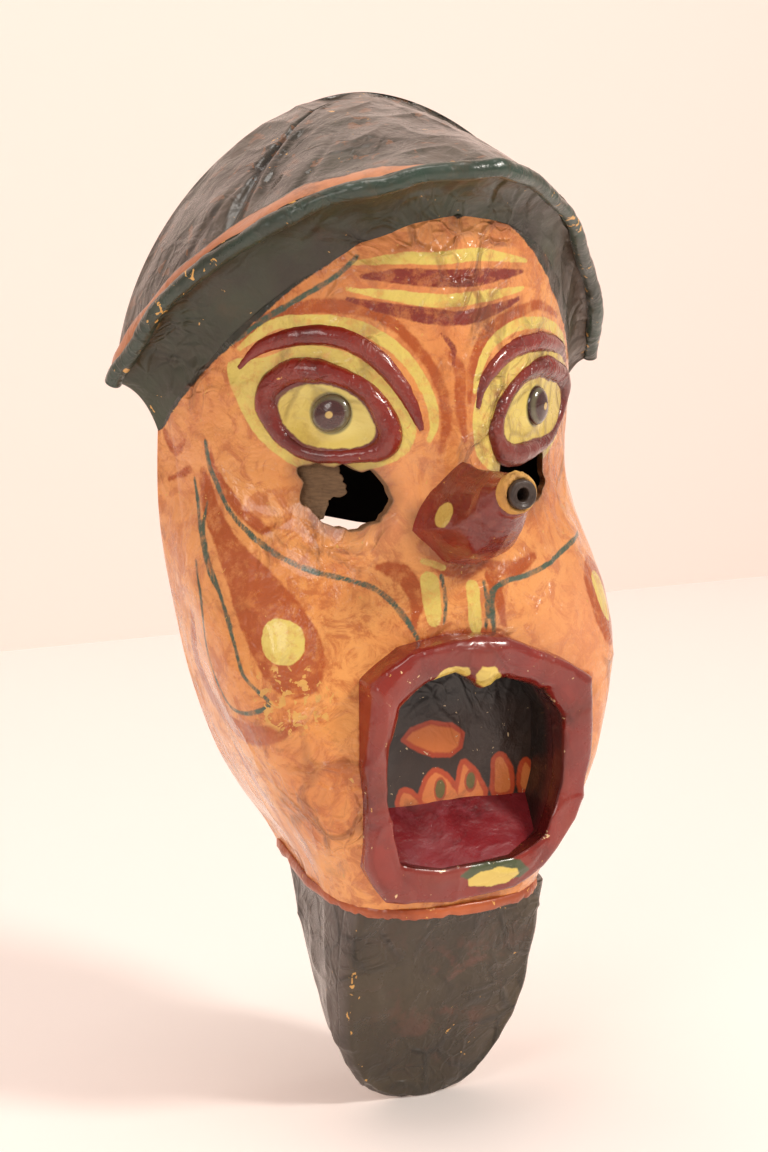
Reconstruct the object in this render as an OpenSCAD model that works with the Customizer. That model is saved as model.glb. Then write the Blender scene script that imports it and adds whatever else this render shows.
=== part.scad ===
// Carnival face mask of moulded papier-mache: hat, popping eyes, pipe nose, box mouth and beard.
// Millimetres. Z is up, the mask looks along -Y, the back rim is the plane y = 0 and the origin
// is on that plane at the height of the sight holes. "Depth" below is distance forward of it.

/* [Face] */
// Half width of the face at the temples, where it is widest
face_half_w = 96; // [84:1:112]
// Depth of the face from the back rim to the forehead and the upper lip
face_depth = 99; // [86:1:114]
// Height of the face from the chin joint up to the top of the hairline
face_height = 294; // [250:1:340]
// Height of the sight holes above the chin joint
sight_height = 178; // [150:1:205]
// Wall of the pasted paper shell
wall = 3.4; // [2.5:0.1:5]
// Depth of the back edge of the cheeks where they start to round over to the front
cheek_turn = 46; // [36:1:56]

/* [Hat] */
// Half width of the hat over the two ends of the brim
brim_half_w = 115; // [108:1:140]
// Depth of the front of the brim
brim_depth = 118; // [110:1:134]
// Height of the brim ends above the sight holes
brim_side_z = 45; // [38:1:58]
// Rise of the brim from its ends to its front
brim_rise = 89; // [78:1:104]
// Squareness of the brim's plan on the right, which kept its shape
brim_full_right = 1.8; // [1.4:0.05:2.2]
// Squareness of the brim's plan on the left, which is pressed in
brim_full_left = 1.25; // [1.15:0.05:2.2]
// Height of the hairline above the sight holes, at the temples
hairline_side_z = 24; // [16:1:34]
// Rise of the hairline for each millimetre of depth
hairline_slope = 1.05; // [0.9:0.01:1.15]
// Diameter of the rolled edge of the brim
roll_d = 7.4; // [5:0.1:10]
// Height of the top of the crown above the front of the brim
crown_rise = 29; // [20:1:44]
// Share of the way up the crown that the painted hat band takes
band_share = 0.22; // [0.12:0.01:0.3]
// Depth of the pinch in the right front of the crown
pinch_depth = 7; // [0:0.5:12]

/* [Eyes] */
// Half the spacing of the pupils
eye_half_gap = 47; // [42:1:54]
// Height of the pupils above the sight holes
eye_rise = 35; // [31:1:42]
// Width of the raised rim round an eye
eye_w = 50; // [42:1:58]
// Height of the raised rim round an eye
eye_h = 38; // [33:1:44]
// Width of the modelled bead of the rim
rim_bead = 7.5; // [5:0.5:10]
// How far the rims and the brows stand off the face
relief = 4.2; // [2.5:0.1:7]
// How far the painted eyeball stands off the face
white_relief = 1.6; // [1:0.1:2.2]
// Diameter of a pupil bead
pupil_d = 16; // [11:0.5:20]
// Width of a brow at its widest
brow_w = 9; // [6:0.5:12]
// Half the spacing of the sight holes
hole_half_gap = 43; // [38:1:48]
// Width of a sight hole
hole_w = 33; // [24:1:38]
// Height of a sight hole
hole_h = 24; // [18:1:28]
// Thickness of the torn card flap in the right sight hole
flap_t = 1.2; // [0.8:0.1:2]

/* [Nose] */
// Width of the nose where it meets the face
nose_w = 50; // [40:1:60]
// Height of the nose where it meets the face
nose_h = 50; // [42:1:56]
// Depth of the tip of the nose
nose_tip_depth = 142; // [128:1:156]
// Height of the nose tip above the sight holes
nose_tip_z = 9; // [2:1:16]
// Wall of the nose cone
nose_wall = 2.4; // [1.6:0.1:3.2]
// Outside diameter of the tube in the nose tip
tube_d = 12; // [9:0.5:15]
// Bore of that tube
tube_bore = 5; // [3:0.5:7]
// Length of that tube
tube_len = 17; // [13:1:24]
// Length of tube that stands out of the torn collar
tube_out = 3; // [1:0.5:6]

/* [Mouth] */
// Width of the lip ring
mouth_w = 110; // [96:1:124]
// Height of the lip ring
mouth_h = 112; // [100:1:124]
// Height of the middle of the lip ring under the sight holes
mouth_drop = 110; // [104:1:118]
// Depth of the front of the upper lip
lip_depth = 109; // [104:1:122]
// How much further back the lower lip is than the upper
lip_lean = 11; // [4:1:16]
// Depth of the painted panel at the back of the mouth
mouth_back_depth = 74; // [62:1:82]
// Thickness of the card that lines the mouth
liner_t = 2.2; // [1.5:0.1:3.5]

/* [Beard] */
// Half width of the beard at the top of its front panel
beard_half_w = 47; // [40:1:52]
// Drop of the beard tip below the chin joint
beard_drop = 92; // [76:1:110]
// Depth of the front panel at its top
beard_top_depth = 72; // [62:1:80]
// Depth of the front panel at its tip
beard_tip_depth = 47; // [40:1:56]
// Wall of the beard
beard_wall = 3.2; // [2.4:0.1:4.5]
// How far the beard hangs to the left of the middle
beard_shift = 6; // [-4:0.5:8]
// Thickness of the strip pasted over the chin joint
strip_t = 3; // [2:0.1:4.5]

/* [Hidden] */

chin_z = -sight_height;
big = 400;
steps_u = 44;
steps_z = 26;
paint_red = [0.48, 0.15, 0.16];
paint_orange = [0.86, 0.56, 0.34];
paint_green = [0.19, 0.22, 0.17];
paint_yellow = [0.88, 0.80, 0.42];

// Height share up the face, then back-edge width, widest width, turn depth and front depth, each
// as a share of its own size, and the squareness of the section.
FACE = [[-0.05, 0.36, 0.44, 1.00, 0.92, 3.0],
        [0.03, 0.40, 0.50, 1.00, 0.96, 3.0],
        [0.09, 0.49, 0.56, 1.00, 1.00, 3.6],
        [0.15, 0.62, 0.67, 1.00, 1.01, 4.0],
        [0.22, 0.74, 0.78, 0.98, 1.01, 3.8],
        [0.33, 0.86, 0.92, 0.96, 0.98, 2.8],
        [0.43, 0.93, 0.97, 0.82, 0.96, 2.2],
        [0.52, 0.98, 0.97, 0.50, 0.93, 1.7],
        [0.60, 1.00, 0.95, 0.26, 0.92, 1.5],
        [0.72, 0.99, 0.97, 0.18, 0.92, 1.5],
        [0.86, 0.96, 0.96, 0.18, 0.91, 1.6],
        [1.00, 0.90, 0.90, 0.18, 0.87, 1.8],
        [1.20, 0.80, 0.80, 0.18, 0.76, 1.9]];

function mix(a, b, t) = a + (b - a) * t;
function seg(tab, h, i = 0) =
  (i >= len(tab) - 2 || h < tab[i + 1][0]) ? i : seg(tab, h, i + 1);
function hermite(p0, p1, p2, p3, x0, x1, x2, x3, t) =
  let (m1 = (p2 - p0) / (x2 - x0) * (x2 - x1), m2 = (p3 - p1) / (x3 - x1) * (x2 - x1))
  (2 * t * t * t - 3 * t * t + 1) * p1 + (t * t * t - 2 * t * t + t) * m1
  + (3 * t * t - 2 * t * t * t) * p2 + (t * t * t - t * t) * m2;
// One smooth reading of a column of a table of rows
function look(tab, h, c) =
  let (i = seg(tab, h), a = max(i - 1, 0), d = min(i + 2, len(tab) - 1),
       t = (h - tab[i][0]) / (tab[i + 1][0] - tab[i][0]))
  hermite(tab[a][c], tab[i][c], tab[i + 1][c], tab[d][c],
          tab[a][0], tab[i][0], tab[i + 1][0], tab[d][0], max(0, min(1, t)));

// Face surface: u runs from -1 at the right back edge to 1 at the left, z is the height and
// grow moves the surface out (or in, when negative)
function face_xf(u, z, grow = 0) =
  let (h = (z - chin_z) / face_height, a = abs(u), s = sign(u),
       back = look(FACE, h, 1) * face_half_w + grow,
       wide = look(FACE, h, 2) * face_half_w + grow,
       turn = look(FACE, h, 3) * cheek_turn,
       front = look(FACE, h, 4) * face_depth + grow,
       e = 2 / look(FACE, h, 5), k = 0.8,
       t = 90 * (1 - a / k))
  a > k ? [s * mix(wide, back, (a - k) / (1 - k)), mix(turn, 0, (a - k) / (1 - k))]
        : [s * wide * pow(cos(t), e), turn + (front - turn) * pow(sin(t), e)];

// Closed body from rows of points, each row running from the right back edge to the left
module rows_body(rows) {
  n = len(rows[0]);
  m = len(rows);
  points = [for (r = rows) each r];
  faces = concat(
    [for (j = [0:m - 2], i = [0:n - 2]) let (p = j * n + i, q = p + n)
      each [[p, q + 1, p + 1], [p, q, q + 1]]],
    [[for (i = [0:n - 1]) i]],
    [[for (i = [n - 1:-1:0]) (m - 1) * n + i]],
    [[for (j = [m - 1:-1:0]) j * n, for (j = [0:m - 1]) j * n + n - 1]]
  );
  polyhedron(points, faces);
}

// Closed sheet between an outer and an inner grid of rows
module sheet_body(outer, inner) {
  n = len(outer[0]);
  m = len(outer);
  k = n * m;
  points = concat([for (r = outer) each r], [for (r = inner) each r]);
  faces = concat(
    [for (j = [0:m - 2], i = [0:n - 2]) let (p = j * n + i, q = p + n)
      each [[p, p + 1, q + 1], [p, q + 1, q], [k + p, k + q + 1, k + p + 1], [k + p, k + q, k + q + 1]]],
    [for (i = [0:n - 2]) let (q = (m - 1) * n + i)
      each [[i + 1, i, k + i, k + i + 1], [q, q + 1, k + q + 1, k + q]]],
    [for (j = [0:m - 2]) let (p = j * n, q = p + n - 1)
      each [[p, p + n, k + p + n, k + p], [q + n, q, k + q, k + q + n]]]
  );
  polyhedron(points, faces);
}

// Unit normal of a surface given by four neighbours of a point
function unit(v) = v / norm(v);
function facing(left, right, low, high) = unit(cross(right - left, high - low));

// Solid of the head: the face grown by a distance and run back past the back plane by `over`
module head(grow = 0, over = 0) {
  low = chin_z - 0.04 * face_height - over;
  high = chin_z + 1.16 * face_height + over;
  rows_body([for (j = [0:steps_z])
    let (z = mix(low, high, j / steps_z))
    [for (i = [0:steps_u + 2])
      let (u = max(-1, min(1, -1 + 2 * (i - 1) / steps_u)), p = face_xf(u, z, grow))
      [p[0], (i == 0 || i == steps_u + 2) ? over + 1 : -p[1], z]]]);
}

// Every carved piece is made as one mesh
module carved() resize([0, 0, 0]) children();

// Everything above, or under, a slope that rises with depth
module above(z0, slope) multmatrix([[1, 0, 0, 0], [0, 1, 0, 0], [0, -slope, 1, z0], [0, 0, 0, 1]])
  translate([-big, -big, 0]) cube([2 * big, 2 * big, big]);
module below(z0, slope) multmatrix([[1, 0, 0, 0], [0, 1, 0, 0], [0, -slope, 1, z0], [0, 0, 0, 1]])
  translate([-big, -big, -big]) cube([2 * big, 2 * big, big]);
module behind() translate([-big, 0, -big]) cube([2 * big, big, 2 * big]);

// A front-view outline pushed through the face, between two depths
module through(from, to) rotate([90, 0, 0]) translate([0, 0, from]) linear_extrude(to - from)
  children();

// Outline points about a centre, given as shares of a width and a height
function outline(c, w, h, pts, side = 1) =
  [for (p = pts) [c[0] + side * p[0] * w, c[1] + p[1] * h]];

// Relief: an outline standing on the face, from one height off it to another
module relief_on(low, high) carved() intersection() {
  difference() {
    head(high);
    head(low, 1);
  }
  through(1, big / 2) children();
}

// ---- face ----
eye_z = eye_rise;
EYE = [[-0.50, 0.05], [-0.44, 0.33], [-0.16, 0.50], [0.12, 0.45], [0.36, 0.16], [0.50, -0.22],
       [0.34, -0.46], [0.05, -0.50], [-0.26, -0.38]];
module eye_outline(side) translate([side * eye_half_gap, eye_z]) scale([side, 1])
  polygon([for (p = EYE) [-p[0] * eye_w, p[1] * eye_h]]);
module eye_inner(side) offset(delta = -rim_bead) eye_outline(side);

HOLE = [[-0.46, 0.30], [-0.20, 0.48], [0.22, 0.50], [0.42, 0.30], [0.50, -0.06], [0.36, -0.36],
        [0.06, -0.50], [-0.30, -0.42], [-0.50, -0.08]];
module hole_outline(side) translate([side * hole_half_gap, side > 0 ? 0.2 * hole_h : 0])
  scale(side > 0 ? [0.88, 0.76] : [1, 1]) polygon([for (p = HOLE) [p[0] * hole_w, p[1] * hole_h]]);

LIPS = [[-0.43, 0.36], [-0.28, 0.47], [-0.10, 0.50], [0.12, 0.49], [0.28, 0.42], [0.50, 0.30],
        [0.52, 0.00], [0.47, -0.26], [0.33, -0.43], [0.20, -0.49], [-0.10, -0.50], [-0.33, -0.47],
        [-0.42, -0.34], [-0.45, 0.05]];
GAPE = [[-0.31, 0.26], [-0.19, 0.34], [-0.08, 0.37], [0.13, 0.33], [0.31, 0.27], [0.39, 0.16],
        [0.39, -0.10], [0.33, -0.30], [0.18, -0.36], [-0.12, -0.37], [-0.29, -0.33], [-0.35, -0.08],
        [-0.35, 0.12]];
mouth_z = -mouth_drop;
module lip_outline() translate([0, mouth_z]) polygon([for (p = LIPS) [p[0] * mouth_w, p[1] * mouth_h]]);
module gape_outline(grow = 0) translate([0, mouth_z]) offset(delta = grow)
  polygon([for (p = GAPE) [p[0] * mouth_w, p[1] * mouth_h]]);

NOSE = [[0, 0.52], [0.30, 0.28], [0.50, -0.08], [0.38, -0.40], [0.10, -0.50], [-0.22, -0.46],
        [-0.48, -0.12], [-0.30, 0.26]];
nose_z = -8;
module nose_body(grow = 0) {
  tip_r = tube_d / 2 + nose_wall + grow;
  base = [for (p = NOSE)
    [p[0] * (nose_w + 2 * grow), -face_depth * 0.72, nose_z + p[1] * (nose_h + 2 * grow)]];
  mid = [for (p = NOSE) [p[0] * (nose_w * 0.62 + 2 * grow), -face_depth * 1.16,
         nose_z + 5 + p[1] * (nose_h * 0.66 + 2 * grow)]];
  tip = [for (i = [0:7]) let (a = 90 - i * 45)
         [tip_r * cos(a), -nose_tip_depth + tube_out + 5 - grow, nose_tip_z - 1 + tip_r * sin(a)]];
  rings = [base, mid, tip];
  points = [for (r = rings) each r];
  faces = concat(
    [for (k = [0:1], i = [0:7]) let (a = k * 8 + i, b = k * 8 + (i + 1) % 8)
      each [[a, b + 8, a + 8], [a, b, b + 8]]],
    [[for (i = [7:-1:0]) i], [for (i = [0:7]) 16 + i]]);
  polyhedron(points, faces);
}

// Joint slope between the face and the beard
chin_slope = -0.11;
chin_back_z = chin_z + 18;

function hair_z(u, i = 0, z = 0) = i > 6 ? z :
  hair_z(u, i + 1, hairline_side_z + hairline_slope * face_xf(u, z)[1]);

module face_shell() color(paint_orange) carved() difference() {
  head(0);
  head(-wall, 8);
  behind();
  above(hairline_side_z, hairline_slope);
  below(chin_back_z, chin_slope);
  through(1, big / 2) gape_outline(liner_t);
  through(1, big / 2) hole_outline(1);
  through(1, big / 2) hole_outline(-1);
  nose_body(-nose_wall);
}

// ---- hat ----
// Edge of the brim: u runs from -1 at its right end to 1 at its left end
function signed_pow(v, e) = sign(v) * pow(abs(v), e);
function rim_pt(u) = let (t = 90 * (1 + u), e = 2 / (u < 0 ? brim_full_right : brim_full_left),
    f = brim_depth * signed_pow(sin(t), e))
  [-brim_half_w * signed_pow(cos(t), e), -f, brim_side_z + brim_rise * (1 - pow(1 - f / brim_depth, 1.3))];
function hair_pt(u) = let (z = hair_z(u), p = face_xf(u, z)) [p[0], -p[1], z];
function flare_pt(u, v) = let (a = hair_pt(u), b = rim_pt(u),
  c = [mix(a[0], b[0], 0.35), mix(a[1], b[1], 0.35), mix(a[2], b[2], 0.9)])
  (1 - v) * (1 - v) * a + 2 * v * (1 - v) * c + v * v * b;
function flare_in(u, v) = let (e = 0.01)
  flare_pt(u, v)
  - wall * facing(flare_pt(u - e, v), flare_pt(u + e, v), flare_pt(u, v - e), flare_pt(u, v + e));
over_u = 1.07;
module roll_body(grow = 0) {
  n = 10;
  rings = [for (i = [-1:steps_u + 1]) let (u = over_u * (-1 + 2 * i / steps_u),
    c = rim_pt(u), w = unit(rim_pt(u + 0.01) - rim_pt(u - 0.01)),
    a = unit(cross(w, [0, 0, 1])), b = cross(w, a))
    [for (k = [0:n - 1]) c + (roll_d / 2 + grow) * (a * cos(360 * k / n) + b * sin(360 * k / n))]];
  m = len(rings);
  points = [for (r = rings) each r];
  faces = concat(
    [for (j = [0:m - 2], k = [0:n - 1]) let (a = j * n + k, b = j * n + (k + 1) % n)
      each [[a, b + n, b], [a, a + n, b + n]]],
    [[for (k = [0:n - 1]) k], [for (k = [n - 1:-1:0]) (m - 1) * n + k]]);
  polyhedron(points, faces);
}
module hat_brim() color(paint_green) carved() difference() {
  rows = 6;
  vs = [for (j = [0:rows]) mix(-0.16, 1, j / rows)];
  us = [for (i = [0:steps_u]) over_u * (-1 + 2 * i / steps_u)];
  sheet_body([for (v = vs) [for (u = us) flare_in(u, v)]], [for (v = vs) [for (u = us) flare_pt(u, v)]]);
  behind();
  below(hairline_side_z, hairline_slope);
  roll_body();
}
module brim_roll() color(paint_green) carved() difference() {
  roll_body();
  behind();
}
crown_z = brim_side_z + brim_rise + crown_rise;
// Crown surface, or one brought in by a distance: v runs from its foot to the middle of its top
function crown_pt(u, v, inset = 0) = let (a = flare_pt(u, 0.95), t = 90 * (1 + u),
  n = mix(1.8, 1.14, max(0, sin(t))),
  c = pow(cos(90 * v), 2 / n), s = pow(max(0, sin(90 * v)), 2 / n),
  p = 1 - pinch_depth / brim_half_w * exp(-pow((t - 38) / 5, 2)) * sin(180 * min(1, v * 1.3)),
  q = 1 - inset / norm([a[0], a[1]]))
  [a[0] * c * p * q, a[1] * c * p * q, mix(a[2], crown_z - inset, s)];
// Top of the band: tallest over the right front of the hat, low at both ends
function band_top(u) = band_share * (0.4 + 0.6 * exp(-pow((u + 0.4) / 0.3, 2)))
  * max(0.02, min(1, (0.3 - u) / 0.4));
module crown_sheet(low, rows, last = 1) {
  us = [for (i = [0:steps_u]) mix(-over_u, last * over_u, i / steps_u)];
  function height(u, j) = low ? band_top(u) * j / rows : mix(band_top(u), 0.985, j / rows);
  sheet_body([for (j = [0:rows]) [for (u = us) crown_pt(u, height(u, j), wall)]],
             [for (j = [0:rows]) [for (u = us) crown_pt(u, height(u, j))]]);
}
// All the space over the brim, which the band and the crown stand in
module over_brim() rows_body([for (j = [0:6])
  [for (i = [0:steps_u]) let (u = over_u * (-1 + 2 * i / steps_u), p = flare_in(u, min(1, j / 5)))
    j < 6 ? p : [1.5 * p[0], 1.5 * p[1], crown_z + 40]]]);
module hat_band() color(paint_orange) carved() difference() {
  intersection() {
    crown_sheet(true, 2, 0.26);
    over_brim();
  }
  behind();
  roll_body();
}
module hat_crown() color(paint_green) carved() difference() {
  intersection() {
    crown_sheet(false, 11);
    over_brim();
  }
  behind();
  roll_body();
}

// ---- eyes ----
module eye_rim(side) color(paint_red) relief_on(0, relief) difference() {
  eye_outline(side);
  eye_inner(side);
}
module eye_white(side) color(paint_yellow) relief_on(0, white_relief) eye_inner(side);
module pupil(side) color(paint_red) carved() difference() {
  d = face_at(side * eye_half_gap, eye_z);
  translate([side * eye_half_gap, -d, eye_z]) rotate([0, 0, side * 32]) scale([1, 0.72, 1])
    sphere(d = pupil_d, $fn = 28);
  head(white_relief);
}
// Depth of the face at a given place, found by halving
function face_at(x, z, lo = 0, hi = 0.8, i = 0) = i > 20 ? face_xf(lo, z)[1] :
  let (m = (lo + hi) / 2, wide = face_xf(m, z)[0] > abs(x))
  face_at(x, z, wide ? lo : m, wide ? m : hi, i + 1);

BROW = [[-0.52, 0.30, 0.3], [-0.34, 0.72, 0.9], [-0.04, 0.86, 1.0], [0.26, 0.66, 0.9], [0.48, 0.24, 0.9],
        [0.60, -0.30, 0.5]];
module brow(side) color(paint_red) relief_on(0, relief) translate([side * eye_half_gap, eye_z])
  polygon(concat(
    [for (p = BROW) [-side * p[0] * eye_w, p[1] * eye_h + p[2] * brow_w / 2]],
    [for (i = [len(BROW) - 1:-1:0]) let (p = BROW[i])
      [-side * p[0] * eye_w, p[1] * eye_h - p[2] * brow_w / 2]]));

module sight_flap() color([0.35, 0.25, 0.18]) carved() intersection() {
  difference() {
    head(-wall);
    head(-wall - flap_t, 1);
  }
  through(1, big / 2) translate([-hole_half_gap, 0]) polygon([for (p = [[-0.62, 0.56], [-0.02, 0.58],
    [0.02, 0.22], [-0.20, 0.02], [-0.24, -0.24], [-0.60, -0.26]]) [p[0] * hole_w, p[1] * hole_h]]);
}

// ---- nose ----
module on_nose_axis() translate([0, -nose_tip_depth, nose_tip_z]) rotate([90, 0, 0]) children();
module nose_cone() color(paint_red) carved() difference() {
  nose_body();
  nose_body(-nose_wall);
  head(0, 1);
  on_nose_axis() translate([0, 0, -tube_len]) cylinder(d = tube_d + 0.1, h = 2 * tube_len, $fn = 48);
}
module nose_tube() color([0.30, 0.24, 0.20]) on_nose_axis() difference() {
  translate([0, 0, -tube_len]) cylinder(d = tube_d, h = tube_len);
  translate([0, 0, -tube_len - 1]) cylinder(d = tube_bore, h = tube_len + 2);
}
module nose_collar() color([0.85, 0.68, 0.35]) on_nose_axis() difference() {
  translate([0, 0, -tube_out - 5]) cylinder(d1 = tube_d + 2 * nose_wall, d2 = tube_d + 3, h = 5);
  translate([0, 0, -tube_len]) cylinder(d = tube_d, h = 2 * tube_len);
}

// ---- mouth ----
lip_slope = lip_lean / mouth_h;
module lip_front()
  multmatrix([[1, 0, 0, 0], [0, 1, -lip_slope, lip_slope * (mouth_z + mouth_h / 2)], [0, 0, 1, 0]])
  translate([-big, -lip_depth, -big]) cube([2 * big, lip_depth, 2 * big]);
module lip_ring() color(paint_red) carved() difference() {
  intersection() {
    through(face_depth * 0.4, big / 2) lip_outline();
    lip_front();
  }
  head(0, 1);
  through(1, big / 2) gape_outline();
}
floor_back_z = mouth_z - 0.18 * mouth_h;
floor_front_z = mouth_z - 0.37 * mouth_h;
floor_slope = (floor_back_z - floor_front_z) / (face_depth - mouth_back_depth);
module floor_under(drop) multmatrix([[1, 0, 0, 0], [0, 1, 0, 0], [0, floor_slope, 1, 0]])
  translate([-big, -big, -big])
  cube([2 * big, 2 * big, big + floor_back_z + mouth_back_depth * floor_slope - drop]);
module mouth_liner() color([0.12, 0.10, 0.09]) carved() difference() {
  intersection() {
    through(mouth_back_depth, big / 2) gape_outline(liner_t);
    head(0);
  }
  through(1, big / 2) gape_outline();
  floor_under(liner_t);
}
module mouth_back() color([0.16, 0.13, 0.11]) carved() difference() {
  through(mouth_back_depth - liner_t, mouth_back_depth) gape_outline(liner_t);
  floor_under(liner_t);
}
module mouth_floor() color(paint_red) carved() difference() {
  intersection() {
    through(mouth_back_depth, big / 2) gape_outline(liner_t);
    head(0);
    floor_under(0);
  }
  floor_under(liner_t);
}

// ---- beard ----
// Height share up the beard, then half width and how far its back edge has come forward
BEARD = [[0.00, 0.22, 0.98], [0.02, 0.40, 0.95], [0.06, 0.56, 0.90], [0.13, 0.71, 0.84], [0.22, 0.83, 0.77],
         [0.34, 0.92, 0.67], [0.50, 0.97, 0.53], [0.70, 1.00, 0.32], [0.90, 1.00, 0.12], [1.25, 0.98, -0.1]];
// Solid of the beard, brought in at its sides and tip by one distance and at its front by another
module beard_body(sides = 0, front = 0, over = 0) {
  rows = [for (b = BEARD)
    let (z = chin_z + (b[0] - 1) * beard_drop + (b[0] < 1 ? sides : 0), w = beard_half_w * b[1] - sides,
         f = mix(beard_tip_depth, beard_top_depth, b[0]) - front, k = max(-2, b[2] * beard_tip_depth) - over)
    [[beard_shift - 0.9 * w, -k, z], [beard_shift - w, -mix(k, f, 0.8), z], [beard_shift - w + 4, -f, z],
     [beard_shift, -f - 2, z], [beard_shift + w - 4, -f, z], [beard_shift + w, -mix(k, f, 0.8), z],
     [beard_shift + 0.9 * w, -k, z]]];
  rows_body(rows);
}
module beard_front() color(paint_green) carved() difference() {
  beard_body(beard_wall);
  beard_body(beard_wall, beard_wall, big / 2);
  behind();
  above(chin_back_z - strip_t, chin_slope);
}
module beard_side(side) color(paint_green) carved() difference() {
  beard_body();
  beard_body(beard_wall);
  beard_body(beard_wall, beard_wall, big / 2);
  behind();
  above(chin_back_z - strip_t, chin_slope);
  translate([beard_shift - (side > 0 ? big : 0), -big / 2, -big]) cube([big, big, 2 * big]);
}
module chin_strip() color(paint_orange) carved() difference() {
  union() {
    head();
    beard_body();
  }
  beard_body(beard_wall, beard_wall, big / 2);
  behind();
  above(chin_back_z, chin_slope);
  below(chin_back_z - strip_t, chin_slope);
}

face_shell();
hat_brim();
brim_roll();
hat_band();
hat_crown();
eye_rim(-1);  // eye_rim_right
eye_rim(1);  // eye_rim_left
eye_white(-1);  // eye_white_right
eye_white(1);  // eye_white_left
pupil(-1);  // pupil_right
pupil(1);  // pupil_left
brow(-1);  // brow_right
brow(1);  // brow_left
sight_flap();
nose_cone();
nose_tube();
nose_collar();
lip_ring();
mouth_liner();
mouth_back();
mouth_floor();
chin_strip();
beard_front();
beard_side(-1);  // beard_side_right
beard_side(1);  // beard_side_left
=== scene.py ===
# Carnival face mask of moulded papier-mache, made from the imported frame. It is drawn in the frame's
# own axes: X to the wearer's left, the face looks along -Y and Z is up. Sizes are written in
# millimetres and become metres when a piece is made.
import math
import bmesh
import bpy
import numpy as np
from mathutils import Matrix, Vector


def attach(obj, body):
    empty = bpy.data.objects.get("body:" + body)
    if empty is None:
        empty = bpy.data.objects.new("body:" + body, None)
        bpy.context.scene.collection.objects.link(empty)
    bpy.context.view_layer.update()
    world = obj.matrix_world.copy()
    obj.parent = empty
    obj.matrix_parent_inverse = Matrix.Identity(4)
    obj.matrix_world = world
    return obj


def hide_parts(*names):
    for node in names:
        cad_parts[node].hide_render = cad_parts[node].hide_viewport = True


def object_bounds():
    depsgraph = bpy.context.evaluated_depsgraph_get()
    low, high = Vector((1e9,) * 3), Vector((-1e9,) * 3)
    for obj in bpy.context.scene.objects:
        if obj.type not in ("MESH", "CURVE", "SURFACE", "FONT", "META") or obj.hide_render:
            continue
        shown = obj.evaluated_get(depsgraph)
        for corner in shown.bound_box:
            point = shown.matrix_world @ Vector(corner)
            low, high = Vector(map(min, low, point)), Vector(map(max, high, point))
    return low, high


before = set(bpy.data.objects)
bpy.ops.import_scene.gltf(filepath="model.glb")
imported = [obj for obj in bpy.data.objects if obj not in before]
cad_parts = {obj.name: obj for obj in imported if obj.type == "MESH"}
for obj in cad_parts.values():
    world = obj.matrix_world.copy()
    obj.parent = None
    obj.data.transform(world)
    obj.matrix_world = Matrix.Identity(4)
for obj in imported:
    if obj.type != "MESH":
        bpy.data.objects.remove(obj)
cad_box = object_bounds()

# ---- Table, wall, light and camera ----
# The mask leans on a white table in front of a warm white wall. Two big soft lamps stand at the
# front, the brighter one on the right, so that the shadow falls softly to the left.


def rgb(r, g, b, a=1.0):
    """A paint colour from its eight-bit values, as linear light."""
    return tuple(((c / 255 + 0.055) / 1.055) ** 2.4 if c > 10 else c / 255 / 12.92 for c in (r, g, b)) + (a,)


def stage_sheet(name, corners, colour, roughness):
    mesh = bpy.data.meshes.new(name)
    mesh.from_pydata(corners, [], [tuple(range(len(corners)))])
    sheet = bpy.data.objects.new(name, mesh)
    bpy.context.scene.collection.objects.link(sheet)
    paint = bpy.data.materials.new(name)
    paint.use_nodes = True
    nodes, links = paint.node_tree.nodes, paint.node_tree.links
    shader = nodes["Principled BSDF"]
    shader.inputs["Base Color"].default_value = colour
    shader.inputs["Roughness"].default_value = roughness
    shader.inputs["Specular IOR Level"].default_value = 0.15
    back = nodes.new("ShaderNodeNewGeometry")
    clear = nodes.new("ShaderNodeBsdfTransparent")
    swap = nodes.new("ShaderNodeMixShader")
    links.new(back.outputs["Backfacing"], swap.inputs[0])
    links.new(shader.outputs[0], swap.inputs[1])
    links.new(clear.outputs[0], swap.inputs[2])
    links.new(swap.outputs[0], nodes["Material Output"].inputs["Surface"])
    mesh.materials.append(paint)
    return sheet


table_z = cad_box[0].z - 0.0005
wall_y = 0.93
stage_sheet("table_top", [(-6, -6, table_z), (6, -6, table_z), (6, wall_y, table_z), (-6, wall_y, table_z)],
            rgb(255, 250, 246), 0.55)
stage_sheet("wall", [(-6, wall_y, table_z), (6, wall_y, table_z), (6, wall_y, 5), (-6, wall_y, 5)],
            rgb(255, 238, 230), 0.8)

# A black card stands loose in the mask's open back as painted shade, so that the sight holes look as dark as
# the shaded inside of the mask. It is staging and no part of the mask, whose holes and back are open, and it
# is clear from behind.
card_y = -0.0465
stage_sheet("painted_shade_card", [(-0.0665, card_y, -0.004), (-0.0513, card_y, -0.0072),
            (-0.0258, card_y, -0.0134), (0.0665, card_y, -0.030), (0.0665, card_y, 0.045),
            (-0.0665, card_y, 0.045)], rgb(9, 8, 8), 0.9)

sky = bpy.data.worlds.new("studio_air")
sky.use_nodes = True
sky.node_tree.nodes["Background"].inputs["Color"].default_value = rgb(255, 238, 232)
sky.node_tree.nodes["Background"].inputs["Strength"].default_value = 0.5
bpy.context.scene.world = sky


def soft_lamp(name, place, aim, size, watts, colour):
    lamp = bpy.data.lights.new(name, "AREA")
    lamp.shape, lamp.size, lamp.energy, lamp.color = "DISK", size, watts, colour
    holder = bpy.data.objects.new(name, lamp)
    holder.location = place
    holder.rotation_euler = (Vector(aim) - Vector(place)).to_track_quat("-Z", "Y").to_euler()
    bpy.context.scene.collection.objects.link(holder)


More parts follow.
